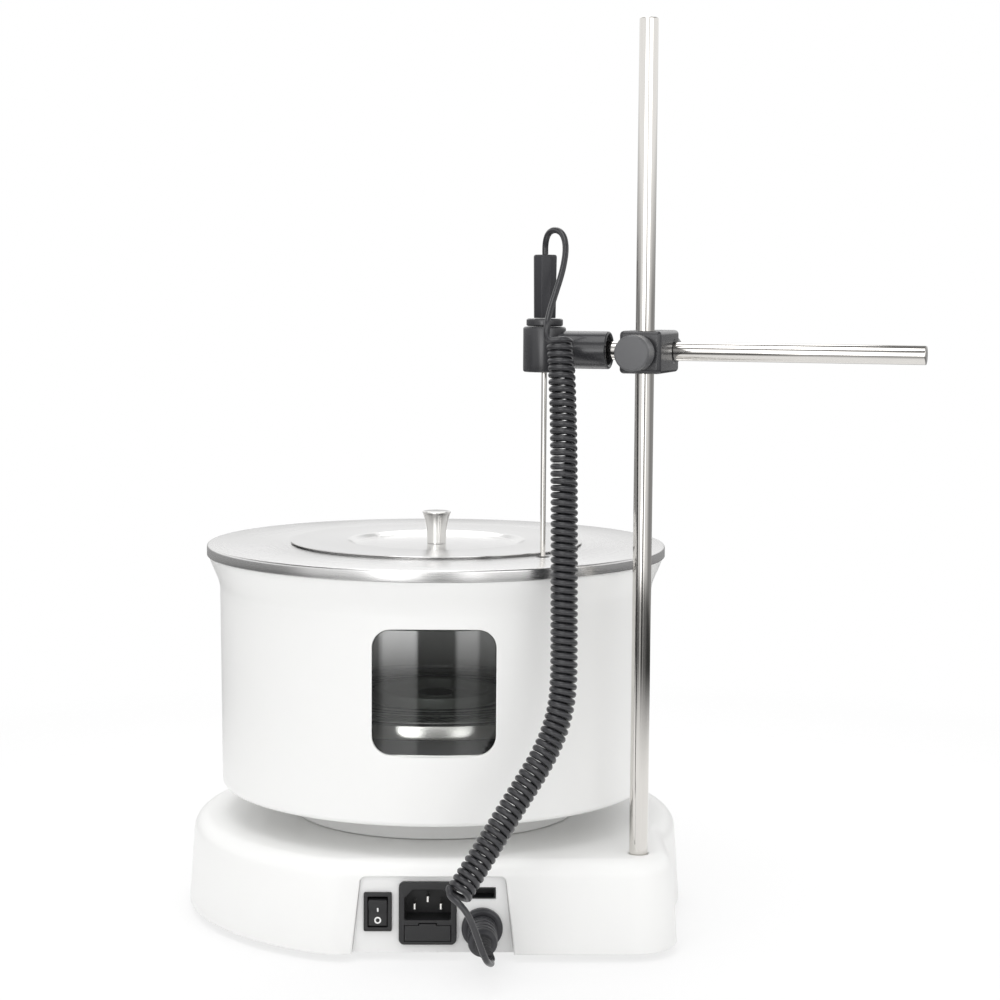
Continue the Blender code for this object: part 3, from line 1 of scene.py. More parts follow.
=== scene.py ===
# Heated bath magnetic stirrer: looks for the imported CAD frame, metres, +Z up, +Y to the rear
import math

import bmesh
import bpy
import numpy as np
from mathutils import Matrix, Vector


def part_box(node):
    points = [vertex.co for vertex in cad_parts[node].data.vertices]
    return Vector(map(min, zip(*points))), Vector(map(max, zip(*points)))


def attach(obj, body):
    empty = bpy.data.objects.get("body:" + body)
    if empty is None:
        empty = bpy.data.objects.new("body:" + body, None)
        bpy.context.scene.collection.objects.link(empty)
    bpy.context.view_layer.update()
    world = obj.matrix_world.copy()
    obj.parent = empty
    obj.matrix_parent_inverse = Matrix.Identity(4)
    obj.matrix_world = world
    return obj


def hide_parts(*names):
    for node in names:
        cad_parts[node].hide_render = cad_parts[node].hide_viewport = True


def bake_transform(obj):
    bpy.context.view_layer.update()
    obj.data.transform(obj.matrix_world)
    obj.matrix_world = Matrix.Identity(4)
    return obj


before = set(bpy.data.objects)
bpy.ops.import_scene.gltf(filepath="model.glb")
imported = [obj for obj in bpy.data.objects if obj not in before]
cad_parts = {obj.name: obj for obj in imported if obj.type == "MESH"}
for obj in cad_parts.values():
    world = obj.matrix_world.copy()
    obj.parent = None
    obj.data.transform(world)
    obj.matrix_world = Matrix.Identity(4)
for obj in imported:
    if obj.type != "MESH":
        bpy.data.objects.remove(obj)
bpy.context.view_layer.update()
potLow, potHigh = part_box("glass_pot")
stirAxis = np.array([(potLow[0] + potHigh[0]) / 2, (potLow[1] + potHigh[1]) / 2, 0.0])
print("frame loaded, stirring axis at", stirAxis.round(5))

# Camera behind the stirrer, worked out from the rods, the panel and the cover's ellipses
shot = {
    "place": (-0.01075, 1.2905, 0.3578),
    "forward": (-0.0200, -0.9953, -0.0950),
    "roll": 0.4,
    "lens": 80.46,
    "sensor": 36.0,
}
cameraData = bpy.data.cameras.new("camera")
cameraData.lens = shot["lens"]
cameraData.sensor_width = shot["sensor"]
camera = bpy.data.objects.new("camera", cameraData)
bpy.context.scene.collection.objects.link(camera)
camera.rotation_mode = "QUATERNION"
camera.location = Vector(shot["place"]) + Vector(stirAxis)
rollTurn = Matrix.Rotation(math.radians(shot["roll"]), 3, "Z").to_quaternion()
camera.rotation_quaternion = Vector(shot["forward"]).to_track_quat("-Z", "Y") @ rollTurn
bpy.context.scene.camera = camera
bpy.context.scene.view_settings.view_transform = "Standard"


# Rows and columns of a grid joined by quads; a closed way joins its last row or column to its first
def gridFaces(rows, columns, closeRows=False, closeColumns=True):
    i = np.arange(rows if closeRows else rows - 1)[:, None]
    j = np.arange(columns if closeColumns else columns - 1)[None, :]
    nextI, nextJ = (i + 1) % rows, (j + 1) % columns
    row, nextRow = i * columns, nextI * columns
    quads = np.stack([row + j, row + nextJ, nextRow + nextJ, nextRow + j], axis=-1)
    return quads.reshape(-1, 4).tolist()


# Doubles at seams and poles are merged and all faces turned outwards
def makeMesh(name, points, faces, sharp=32.0):
    mesh = bpy.data.meshes.new(name)
    mesh.from_pydata(np.asarray(points, float).reshape(-1, 3).tolist(), [], faces)
    bm = bmesh.new()
    bm.from_mesh(mesh)
    bmesh.ops.remove_doubles(bm, verts=bm.verts, dist=1e-7)
    bmesh.ops.recalc_face_normals(bm, faces=bm.faces)
    bm.to_mesh(mesh)
    bm.free()
    mesh.shade_smooth()
    mesh.set_sharp_from_angle(angle=math.radians(sharp))
    return mesh


# Corners of a polyline become arcs: conics between their tangent points, weighted by the half angle's sine
def roundCorners(points, radius, steps=6, closed=False):
    points = np.asarray(points, float)
    count = len(points)
    radii = np.broadcast_to(np.asarray(radius, float), (count,))
    t = np.linspace(0.0, 1.0, steps + 1)[:, None]
    out = []
    for i in range(count):
        here, before, after = points[i], points[i - 1], points[(i + 1) % count]
        atEnd = not closed and i in (0, count - 1)
        if atEnd or radii[i] <= 0.0:
            out.append(here[None])
            continue
        u, v = before - here, after - here
        lengthU, lengthV = np.linalg.norm(u), np.linalg.norm(v)
        u, v = u / lengthU, v / lengthV
        half = 0.5 * math.acos(float(np.clip(u @ v, -1.0, 1.0)))
        if half > 1.55:
            out.append(here[None])
            continue
        cut = min(radii[i] / math.tan(half), 0.49 * lengthU, 0.49 * lengthV)
        first, last, weight = here + u * cut, here + v * cut, math.sin(half)
        bottom = (1 - t) ** 2 + 2 * t * (1 - t) * weight + t ** 2
        out.append(((1 - t) ** 2 * first + 2 * t * (1 - t) * weight * here + t ** 2 * last) / bottom)
    return np.concatenate(out)


# Surface of revolution: a profile of (radius, height) carried round the Z axis
def turned(name, profile, count=128, closed=False, matrix=None, sharp=32.0):
    profile = np.asarray(profile, float)
    angle = np.linspace(0.0, 2 * math.pi, count, endpoint=False)
    ring = np.stack([np.cos(angle), np.sin(angle)], axis=-1)
    points = np.empty((len(profile), count, 3))
    points[..., :2] = profile[:, None, :1] * ring[None]
    points[..., 2] = profile[:, None, 1]
    return makeMesh(name, placed(points, matrix), gridFaces(len(profile), count, closed, True), sharp)


def placed(points, matrix):
    points = np.asarray(points, float)
    if matrix is None:
        return points
    m = np.array(matrix)
    return points @ m[:3, :3].T + m[:3, 3]


# Closed rings of points joined one after the other, with a flat face over the first and the last
def loft(name, rings, matrix=None, sharp=32.0):
    rings = np.asarray(rings, float)
    m, n = rings.shape[:2]
    faces = gridFaces(m, n, False, True)
    faces.append(list(range(n))[::-1])
    faces.append(list(range((m - 1) * n, m * n)))
    return makeMesh(name, placed(rings, matrix), faces, sharp)


# Points of a rectangle with rounded corners, drawn in by an inset
def roundedRectangle(width, height, corner, inset=0.0, steps=8, centre=(0.0, 0.0)):
    corner = max(corner - inset, 1e-5)
    x, y = width / 2 - inset - corner, height / 2 - inset - corner
    angle = np.linspace(0.0, math.pi / 2, steps + 1)
    quarter = np.stack([np.cos(angle), np.sin(angle)], axis=-1) * corner
    spin, quarterTurn = np.eye(2), np.array([[0, -1], [1, 0]])
    points = []
    for sx, sy in ((1, 1), (-1, 1), (-1, -1), (1, -1)):
        points.append(quarter @ spin.T + (sx * x, sy * y))
        spin = quarterTurn @ spin
    return np.concatenate(points) + centre


# Inset and height up a rounded top edge: a quarter circle that ends level with the top
def roundOver(radius, top, steps=4):
    angle = np.linspace(0.0, math.pi / 2, steps + 1)
    return [(radius * (1 - math.cos(a)), top - radius * (1 - math.sin(a))) for a in angle]


# The same up a rounded bottom edge
def roundUnder(radius, low, steps=4):
    angle = np.linspace(0.0, math.pi / 2, steps + 1)
    return [(radius * (1 - math.sin(a)), low + radius * (1 - math.cos(a))) for a in angle]


def edgeLevels(low, high, lowRound, highRound, steps=4):
    return roundUnder(lowRound, low, steps) + roundOver(highRound, high, steps)


# A plate: an outline, drawn in by each level's inset, carried up through the levels
def plate(name, outline, levels, matrix=None, sharp=32.0):
    rings = []
    for inset, height in levels:
        flat = outline(inset)
        rings.append(np.column_stack([flat, np.full(len(flat), height)]))
    return loft(name, rings, matrix, sharp)


# A plate with a rounded rectangle for its outline
def tile(name, size, corner, levels, matrix, steps=8, centre=(0.0, 0.0)):
    return plate(name, lambda inset: roundedRectangle(*size, corner, inset, steps, centre), levels, matrix)


# A frame carried along a path without twisting, then circles of the given radii set square to the path
def tubeRings(path, radii, sides):
    path = np.asarray(path, float)
    tangent = np.gradient(path, axis=0)
    tangent /= np.linalg.norm(tangent, axis=1)[:, None]
    normal = np.empty_like(path)
    first = np.cross(tangent[0], (0.31, 0.22, 0.92))
    normal[0] = first / np.linalg.norm(first)
    for i in range(1, len(path)):
        n = normal[i - 1] - tangent[i] * (normal[i - 1] @ tangent[i])
        normal[i] = n / np.linalg.norm(n)
    side = np.cross(tangent, normal)
    angle = np.linspace(0.0, 2 * math.pi, sides, endpoint=False)
    circle = np.cos(angle)[None, :, None] * normal[:, None] + np.sin(angle)[None, :, None] * side[:, None]
    return path[:, None] + np.broadcast_to(radii, (len(path),))[:, None, None] * circle


# Meshes cut out of, or joined to, another one
def carve(mesh, cutters, operation="DIFFERENCE", sharp=32.0):
    piece = bpy.data.objects.new("carved", mesh)
    bpy.context.scene.collection.objects.link(piece)
    helpers = []
    for cutter in cutters:
        helper = bpy.data.objects.new("cutter", cutter)
        bpy.context.scene.collection.objects.link(helper)
        modifier = piece.modifiers.new("carve", "BOOLEAN")
        modifier.operation = operation
        modifier.solver = "EXACT"
        modifier.object = helper
        helpers.append(helper)
    bpy.context.view_layer.update()
    graph = bpy.context.evaluated_depsgraph_get()
    result = bpy.data.meshes.new_from_object(piece.evaluated_get(graph))
    result.name = mesh.name
    for helper in [piece, *helpers]:
        data = helper.data
        bpy.data.objects.remove(helper, do_unlink=True)
        bpy.data.meshes.remove(data)
    result.materials.clear()
    result.shade_smooth()
    result.set_sharp_from_angle(angle=math.radians(sharp))
    return result


# A bar about the matrix's Z axis, its edges rounded
def roundBar(name, radius, low, high, lowRound, highRound, count, matrix=None, steps=4):
    levels = edgeLevels(low, high, lowRound, highRound, steps)
    profile = [(0.0, low), *[(radius - inset, height) for inset, height in levels], (0.0, high)]
    return turned(name, profile, count, matrix=matrix)


# A hoop about the Z axis whose section is a rectangle with rounded corners
def hoop(name, inner, outer, low, high, rounds, steps, count):
    section = roundCorners([(inner, high), (outer, high), (outer, low), (inner, low)], rounds, steps, True)
    return turned(name, section, count, True)


def boxMesh(name, low, high, matrix=None):
    x, y, z = zip(low, high)
    corners = [(x[0], y[0]), (x[1], y[0]), (x[1], y[1]), (x[0], y[1])]
    rings = [[(a, b, c) for a, b in corners] for c in z]
    return loft(name, rings, matrix)


alongX = Matrix.Rotation(math.radians(90), 4, "Y")
alongY = Matrix.Rotation(math.radians(-90), 4, "X")


# A plain round cutter about the matrix's Z axis
def drill(radius, low, high, matrix, count=48):
    return turned("drill", [(0, low), (radius, low), (radius, high), (0, high)], count, matrix=matrix)


def joinMeshes(name, meshes):
    bm = bmesh.new()
    for mesh in meshes:
        bm.from_mesh(mesh)
    joined = bpy.data.meshes.new(name)
    bm.to_mesh(joined)
    bm.free()
    for mesh in meshes:
        bpy.data.meshes.remove(mesh)
    joined.shade_smooth()
    joined.set_sharp_from_angle(angle=math.radians(32.0))
    return joined


# Puts a mesh made about the stirring axis into the scene, on its body, in place of its CAD nodes
def addPiece(name, mesh, material, body, slot, *nodes):
    mesh.transform(Matrix.Translation(stirAxis))
    mesh.name = name
    piece = bpy.data.objects.new(name, mesh)
    bpy.context.scene.collection.objects.link(piece)
    mesh.materials.append(material)
    if body:
        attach(piece, body)
    if nodes:
        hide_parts(*nodes)
    return piece


# A shader group with named sockets: its tree, input node and output node
def shaderGroup(name, inputs, outputs):
    group = bpy.data.node_groups.new(name, "ShaderNodeTree")
    for label, kind, value in inputs:
        socket = group.interface.new_socket(label, in_out="INPUT", socket_type=kind)
        socket.default_value = value
    for label, kind in outputs:
        group.interface.new_socket(label, in_out="OUTPUT", socket_type=kind)
    return group, group.nodes.new("NodeGroupInput"), group.nodes.new("NodeGroupOutput")


def mathNode(tree, operation, a, b=None, clamp=False):
    node = tree.nodes.new("ShaderNodeMath")
    node.operation = operation
    node.use_clamp = clamp
    for socket, value in zip(node.inputs, (a, b)):
        if value is None:
            continue
        if isinstance(value, (int, float)):
            socket.default_value = value
        else:
            tree.links.new(value, socket)
    return node.outputs[0]


# Colour mix of sockets or plain values
def mixNode(tree, factor, a, b, blend="MIX"):
    node = tree.nodes.new("ShaderNodeMix")
    node.data_type = "RGBA"
    node.blend_type = blend
    for label, value in (("Factor", factor), ("A", a), ("B", b)):
        if isinstance(value, (int, float, tuple)):
            node.inputs[label].default_value = value
        else:
            tree.links.new(value, node.inputs[label])
    return node.outputs["Result"]


# A value carried from one range to another
def rangeNode(tree, value, *limits, smooth=False):
    node = tree.nodes.new("ShaderNodeMapRange")
    node.interpolation_type = "SMOOTHSTEP" if smooth else "LINEAR"
    for label, limit in zip(("From Min", "From Max", "To Min", "To Max"), limits):
        node.inputs[label].default_value = limit
    tree.links.new(value, node.inputs["Value"])
    return node.outputs["Result"]


def groupNode(tree, shared, values):
    node = tree.nodes.new("ShaderNodeGroup")
    node.node_tree = shared
    for label, value in values.items():
        node.inputs[label].default_value = value
    return node


def grey(level):
    return (level, level, level, 1.0)


def noiseNode(tree, vector, scale, detail=2.0, roughness=0.5):
    node = tree.nodes.new("ShaderNodeTexNoise")
    node.inputs["Detail"].default_value = detail
    node.inputs["Roughness"].default_value = roughness
    tree.links.new(vector, node.inputs["Vector"])
    if isinstance(scale, (int, float)):
        node.inputs["Scale"].default_value = scale
    else:
        tree.links.new(scale, node.inputs["Scale"])
    return node.outputs["Fac"]


# A noise about its middle value, times an amount
def swingNode(tree, noise, amount):
    return mathNode(tree, "MULTIPLY", mathNode(tree, "SUBTRACT", noise, 0.5), amount)


# Moulded grain: a fine noise for the skin, a broad one for tone and gloss
def makeMouldedGrain():
    group, given, put = shaderGroup(
        "mouldedGrain",
        [("Grain Scale", "NodeSocketFloat", 1800.0), ("Tone Scale", "NodeSocketFloat", 14.0),
         ("Tone Amount", "NodeSocketFloat", 0.03), ("Gloss", "NodeSocketFloat", 0.4),
         ("Gloss Amount", "NodeSocketFloat", 0.08)],
        [("Tone", "NodeSocketFloat"), ("Roughness", "NodeSocketFloat"), ("Height", "NodeSocketFloat")])
    spot = group.nodes.new("ShaderNodeTexCoord").outputs["Object"]
    grain = noiseNode(group, spot, given.outputs["Grain Scale"], 3.0)
    broad = noiseNode(group, spot, given.outputs["Tone Scale"], 4.0, 0.6)
    swing = swingNode(group, broad, given.outputs["Tone Amount"])
    group.links.new(mathNode(group, "ADD", swing, 1.0), put.inputs["Tone"])
    gloss = swingNode(group, broad, given.outputs["Gloss Amount"])
    fine = swingNode(group, grain, given.outputs["Gloss Amount"])
    total = mathNode(group, "ADD", mathNode(group, "ADD", gloss, fine), given.outputs["Gloss"], True)
    group.links.new(total, put.inputs["Roughness"])
    group.links.new(grain, put.inputs["Height"])
    return group


# Brushing: noise drawn out along one way of the vector that the material gives
def makeBrushing():
    group, given, put = shaderGroup(
        "brushing",
        [("Vector", "NodeSocketVector", (0.0, 0.0, 0.0)), ("Line Scale", "NodeSocketFloat", 900.0),
         ("Tone Amount", "NodeSocketFloat", 0.12), ("Gloss", "NodeSocketFloat", 0.24),
         ("Gloss Amount", "NodeSocketFloat", 0.12)],
        [("Tone", "NodeSocketFloat"), ("Roughness", "NodeSocketFloat"), ("Height", "NodeSocketFloat")])
    lines = noiseNode(group, given.outputs["Vector"], given.outputs["Line Scale"], 3.0, 0.65)
    spot = group.nodes.new("ShaderNodeTexCoord").outputs["Object"]
    broad = noiseNode(group, spot, 22.0, 3.0)
    swing = swingNode(group, lines, given.outputs["Tone Amount"])
    group.links.new(mathNode(group, "ADD", swing, 1.0), put.inputs["Tone"])
    both = mathNode(group, "SUBTRACT", mathNode(group, "ADD", lines, broad), 1.0)
    gloss = mathNode(group, "MULTIPLY", both, given.outputs["Gloss Amount"])
    group.links.new(mathNode(group, "ADD", gloss, given.outputs["Gloss"], True), put.inputs["Roughness"])
    group.links.new(lines, put.inputs["Height"])
    return group


mouldedGrain = makeMouldedGrain()
brushing = makeBrushing()


def newMaterial(name, metallic=0.0, coat=0.0, ior=1.45):
    material = bpy.data.materials.new(name)
    material.use_nodes = True
    shader = material.node_tree.nodes["Principled BSDF"]
    shader.inputs["Metallic"].default_value = metallic
    shader.inputs["Coat Weight"].default_value = coat
    shader.inputs["IOR"].default_value = ior
    return material, shader


# Base colour times the group's tone, with its roughness and its height as bump
def dress(material, shader, group, colour, bump, distance):
    tree = material.node_tree
    tint = mixNode(tree, 1.0, (*colour, 1.0), group.outputs["Tone"], "MULTIPLY")
    tree.links.new(tint, shader.inputs["Base Color"])
    tree.links.new(group.outputs["Roughness"], shader.inputs["Roughness"])
    relief = tree.nodes.new("ShaderNodeBump")
    relief.inputs["Strength"].default_value = bump
    relief.inputs["Distance"].default_value = distance
    tree.links.new(group.outputs["Height"], relief.inputs["Height"])
    tree.links.new(relief.outputs["Normal"], shader.inputs["Normal"])


# Relief of the moulded skin in metres, then of the brushed lines
skinRelief, lineRelief = 0.0002, 0.0001


def plasticMaterial(name, colour, gloss, grain=1800.0, bump=0.12, tone=0.03, coat=0.0, toneScale=14.0):
    material, shader = newMaterial(name, coat=coat)
    group = groupNode(material.node_tree, mouldedGrain, {
        "Grain Scale": grain, "Tone Scale": toneScale, "Tone Amount": tone, "Gloss": gloss})
    dress(material, shader, group, colour, bump, skinRelief)
    return material


# Way of the brushing: lines round an axis, or along a rod, by squeezing the object coordinates
def steelMaterial(name, colour, gloss, way, lines=900.0, tone=0.12, bump=0.06, metallic=1.0,
                  turn=(0.0, 0.0, 0.0)):
    material, shader = newMaterial(name, metallic=metallic)
    tree = material.node_tree
    spot = tree.nodes.new("ShaderNodeTexCoord").outputs["Object"]
    shift = tree.nodes.new("ShaderNodeMapping")
    shift.vector_type = "TEXTURE"
    shift.inputs["Location"].default_value = stirAxis
    shift.inputs["Rotation"].default_value = turn
    tree.links.new(spot, shift.inputs["Vector"])
    parts = tree.nodes.new("ShaderNodeSeparateXYZ")
    tree.links.new(shift.outputs["Vector"], parts.inputs["Vector"])
    joined = tree.nodes.new("ShaderNodeCombineXYZ")
    if way == "round":
        square = mathNode(tree, "ADD", mathNode(tree, "MULTIPLY", parts.outputs[0], parts.outputs[0]),
                          mathNode(tree, "MULTIPLY", parts.outputs[1], parts.outputs[1]))
        angle = mathNode(tree, "ARCTAN2", parts.outputs[1], parts.outputs[0])
        tree.links.new(mathNode(tree, "SQRT", square), joined.inputs[0])
        tree.links.new(mathNode(tree, "MULTIPLY", angle, 0.0008), joined.inputs[1])
        tree.links.new(parts.outputs[2], joined.inputs[2])
    else:
        tree.links.new(parts.outputs[0], joined.inputs[0])
        tree.links.new(parts.outputs[1], joined.inputs[1])
        tree.links.new(mathNode(tree, "MULTIPLY", parts.outputs[2], 0.02), joined.inputs[2])
    group = groupNode(tree, brushing, {
        "Line Scale": lines, "Tone Amount": tone, "Gloss": gloss, "Gloss Amount": 0.10})
    tree.links.new(joined.outputs[0], group.inputs["Vector"])
    dress(material, shader, group, colour, bump, lineRelief)
    return material


# Glass that lets lamp light through to what stands behind it
def glassMaterial(name, colour, roughness, ior=1.47):
    material, shader = newMaterial(name, ior=ior)
    tree = material.node_tree
    shader.inputs["Base Color"].default_value = (*colour, 1.0)
    shader.inputs["Transmission Weight"].default_value = 1.0
    group = groupNode(tree, mouldedGrain, {
        "Grain Scale": 220.0, "Tone Scale": 9.0, "Gloss": roughness, "Gloss Amount": 0.02})
    tree.links.new(group.outputs["Roughness"], shader.inputs["Roughness"])
    clear = tree.nodes.new("ShaderNodeBsdfTransparent")
    clear.inputs["Color"].default_value = (*colour, 1.0)
    path = tree.nodes.new("ShaderNodeLightPath")
    mix = tree.nodes.new("ShaderNodeMixShader")
    out = tree.nodes["Material Output"]
    through = mathNode(tree, "MAXIMUM", path.outputs["Is Shadow Ray"], path.outputs["Is Diffuse Ray"])
    tree.links.new(through, mix.inputs["Fac"])
    tree.links.new(shader.outputs["BSDF"], mix.inputs[1])
    tree.links.new(clear.outputs["BSDF"], mix.inputs[2])
    tree.links.new(mix.outputs["Shader"], out.inputs["Surface"])
    return material


clampTurn = math.radians(-19.0)
finish = {
    "white": plasticMaterial("whitePlastic", (0.86, 0.86, 0.85), 0.34, 900.0, 0.05, 0.02),
    "panel": plasticMaterial("panelPlastic", (0.86, 0.86, 0.855), 0.42, 1500.0, 0.10, 0.03),
    "black": plasticMaterial("blackPlastic", (0.018, 0.018, 0.019), 0.42, 1600.0, 0.22, 0.25),
    "knob": plasticMaterial("knobPlastic", (0.105, 0.106, 0.110), 0.36, 1500.0, 0.10, 0.15),
    "tick": plasticMaterial("printedTick", (0.10, 0.10, 0.11), 0.5, 900.0, 0.05, 0.05),
    "grip": plasticMaterial("gripPlastic", (0.030, 0.030, 0.034), 0.34, 1300.0, 0.10, 0.20),
    "clamp": plasticMaterial("clampGrey", (0.034, 0.034, 0.037), 0.26, 1200.0, 0.05, 0.20, 0.25),
    "cord": plasticMaterial("cordJacket", (0.030, 0.030, 0.033), 0.30, 700.0, 0.06, 0.30, 0.25, 60.0),
    "rubber": plasticMaterial("rubberFoot", (0.028, 0.028, 0.030), 0.70, 900.0, 0.30, 0.25),
    "silicone": plasticMaterial("siliconeSeal", (0.72, 0.71, 0.68), 0.55, 800.0, 0.10, 0.04),
    "insulation": plasticMaterial("mineralBoard", (0.78, 0.76, 0.70), 0.92, 500.0, 0.60, 0.15),
    "board": plasticMaterial("circuitBoard", (0.05, 0.20, 0.09), 0.42, 300.0, 0.10, 0.30, toneScale=120.0),
    "display": plasticMaterial("displayWindow", (0.012, 0.014, 0.020), 0.10, 300.0, 0.01, 0.10),
    "mark": plasticMaterial("whiteMark", (0.86, 0.86, 0.85), 0.45, 900.0, 0.05, 0.03),
    "segment": plasticMaterial("dimSegment", (0.060, 0.030, 0.030), 0.30, 900.0, 0.05, 0.10),
    "rod": steelMaterial("rodSteel", (0.72, 0.70, 0.67), 0.085, "along", bump=0.02),
    "crossRod": steelMaterial("crossRodSteel", (0.72, 0.70, 0.67), 0.085, "along", bump=0.02,
                              turn=(0.0, math.radians(90), clampTurn)),
    "cover": steelMaterial("coverSteel", (0.77, 0.765, 0.76), 0.27, "round", 1500.0, 0.10),
    "lid": steelMaterial("lidSteel", (0.80, 0.795, 0.79), 0.24, "round", 1500.0, 0.08),
    "bright": steelMaterial("brightSteel", (0.78, 0.77, 0.75), 0.12, "round", 700.0, 0.08),
    "band": steelMaterial("bandSteel", (0.88, 0.87, 0.85), 0.18, "round", 900.0, 0.10),
    "zinc": steelMaterial("zincPlate", (0.62, 0.62, 0.60), 0.36, "along", 260.0, 0.15),
    "pin": steelMaterial("pinMetal", (0.86, 0.85, 0.82), 0.20, "along", 900.0, 0.06),
    "case": steelMaterial("heaterCase", (0.022, 0.022, 0.022), 0.46, "round", metallic=0.0),
    "hotplate": steelMaterial("hotplateMetal", (0.66, 0.66, 0.65), 0.40, "round", 800.0, 0.35, 0.15, 0.4),
    "magnet": steelMaterial("magnetNickel", (0.60, 0.60, 0.61), 0.22, "along", 300.0, 0.1),
    "pane": glassMaterial("smokedPane", (0.90, 0.91, 0.90), 0.02, 1.9),
    "pot": glassMaterial("potGlass", (0.95, 0.96, 0.955), 0.015, 1.06),
}
print("finishes made:", len(finish))

# Sensor cord: the same route as the CAD solids, from the probe handle down its curls to the boot of the plug
cord = {
    "radius": 0.0017,
    "coilRadius": 0.0056,
    "pitch": 0.00375,
    "start": 0.2,
    "end": 0.0,
    "join": 0.004,
    "turnPoints": 24,
    "sides": 12,
    "step": 0.0011,
    "leadStraight": 0.0045,
    "bootStraight": 0.0046,
    "bootStep": 0.0003,
    "split": 0.262,
    "splitSide": -0.0622,
    "lowHold": 0.070,
    "topHold": 0.336,
    "upperLength": 0.72,
    "lowerLength": 2.28,
    "gland": (-0.058957, 0.070096, 0.37545),
    "plugEnd": (-0.0262, 0.1557954, 0.0175),
    "upper": ((-0.0604, 0.0730, 0.3864), (-0.0639, 0.0780, 0.3884), (-0.0675, 0.0830, 0.3861),
              (-0.0691, 0.0870, 0.3797), (-0.0685, 0.0903, 0.3725), (-0.0668, 0.0937, 0.3650),
              (-0.0643, 0.0975, 0.3571), (-0.0616, 0.1020, 0.3491), (-0.0596, 0.1060, 0.3426),
              (-0.0586, 0.1088, 0.3371)),
    "coil": ((-0.0655, 0.1042, 0.3294), (-0.0662, 0.1058, 0.3215), (-0.0669, 0.1086, 0.3085),
             (-0.0678, 0.1190, 0.2660), (-0.0680, 0.1280, 0.2160), (-0.0680, 0.1350, 0.1660),
             (-0.0664, 0.1395, 0.1400), (-0.0608, 0.1440, 0.1220), (-0.0450, 0.1540, 0.0960),
             (-0.0269, 0.1660, 0.0690), (-0.0129, 0.1765, 0.0490)),
    "lower": ((-0.0089, 0.1818, 0.0513), (-0.0111, 0.1855, 0.0495), (-0.0147, 0.1888, 0.0471),
              (-0.0185, 0.1908, 0.0422), (-0.0219, 0.1918, 0.0345), (-0.0248, 0.1918, 0.0263),
              (-0.0274, 0.1900, 0.0196), (-0.0292, 0.1850, 0.0163)),
    "boot": ((-0.0294, 0.1765, 0.0156), (-0.0276, 0.1690, 0.0169)),
}


# A natural cubic spline through the points, at even steps along its length
def smoothRoute(points, step):
    points = np.array(points, float)
    knots = np.concatenate([[0.0], np.cumsum(np.linalg.norm(np.diff(points, axis=0), axis=1))])
    spans = np.diff(knots)
    count = len(points)
    slopes = np.diff(points, axis=0) / spans[:, None]
    system = np.eye(count)
    right = np.zeros((count, 3))
    inner = np.arange(1, count - 1)
    system[inner, inner - 1] = spans[:-1]
    system[inner, inner] = 2 * (spans[:-1] + spans[1:])
    system[inner, inner + 1] = spans[1:]
    right[1:-1] = 6 * np.diff(slopes, axis=0)
    bends = np.linalg.solve(system, right)
    fine = np.linspace(0.0, knots[-1], 40 * count)
    i = np.clip(np.searchsorted(knots, fine, side="right") - 1, 0, count - 2)
    a = ((knots[i + 1] - fine) / spans[i])[:, None]
    b = 1.0 - a
    curve = a * points[i] + b * points[i + 1]
    curve += ((a ** 3 - a) * bends[i] + (b ** 3 - b) * bends[i + 1]) * (spans[i] ** 2)[:, None] / 6
    return evenly(curve, step)


def evenly(curve, step):
    length = np.concatenate([[0.0], np.cumsum(np.linalg.norm(np.diff(curve, axis=0), axis=1))])
    even = np.linspace(0.0, length[-1], max(2, int(round(length[-1] / step)) + 1))
    return np.stack([np.interp(even, length, curve[:, k]) for k in range(3)], axis=1)


# The strand at shares of the coil's way: it winds about the axis at an even pitch, and turn 0 lies across
def curlPoints(axis, share):
    along = np.concatenate([[0.0], np.cumsum(np.linalg.norm(np.diff(axis, axis=0), axis=1))])
    heading = np.gradient(axis, axis=0)
    centre, tangent = [np.stack([np.interp(share * along[-1], along, rows[:, k]) for k in range(3)], axis=1)
                       for rows in (axis, heading)]
    tangent /= np.linalg.norm(tangent, axis=1)[:, None]
    across = np.cross(tangent, (0.0, 1.0, 0.0))
    across /= np.linalg.norm(across, axis=1)[:, None]
    outward = np.cross(across, tangent)
    angle = 2 * math.pi * (cord["start"] + share * curlCount)
    return centre + cord["coilRadius"] * (np.cos(angle)[:, None] * across + np.sin(angle)[:, None] * outward)


def pathLength(path):
    return float(np.linalg.norm(np.diff(path, axis=0), axis=1).sum())


gland = np.array(cord["gland"])
plugEnd = np.array(cord["plugEnd"])
leave = gland + (0.0, 0.0, cord["leadStraight"])
fineStep = cord["radius"] / 2
coilAxis = smoothRoute(cord["coil"], fineStep)
curlCount = int(pathLength(coilAxis) / cord["pitch"]) + cord["end"] - cord["start"]
strand = curlPoints(coilAxis, np.linspace(0.0, 1.0, int(curlCount * cord["turnPoints"])))
bootRoute = smoothRoute([*cord["boot"], plugEnd + (0.0, cord["bootStraight"], 0.0), plugEnd],
                        cord["bootStep"])
ways = strand[1] - strand[0], strand[-1] - strand[-2], bootRoute[1] - bootRoute[0]
wayIn, wayOut, wayHome = [cord["join"] * way / np.linalg.norm(way) for way in ways]
upperLead = smoothRoute([gland, leave, *cord["upper"], strand[0] - wayIn, strand[0]], fineStep)
lowerLead = smoothRoute([strand[-1], strand[-1] + wayOut, *cord["lower"], bootRoute[0] - wayHome,
                         bootRoute[0]], fineStep)
cordPath = evenly(np.concatenate([upperLead[:-1], strand, lowerLead[1:]]), cord["step"])
fromSplit = np.abs(cordPath[:, 2] - cord["split"]) + 10 * np.abs(cordPath[:, 0] - cord["splitSide"])
splitIndex = int(np.argmin(fromSplit))
cordRings = tubeRings(cordPath, cord["radius"], cord["sides"])


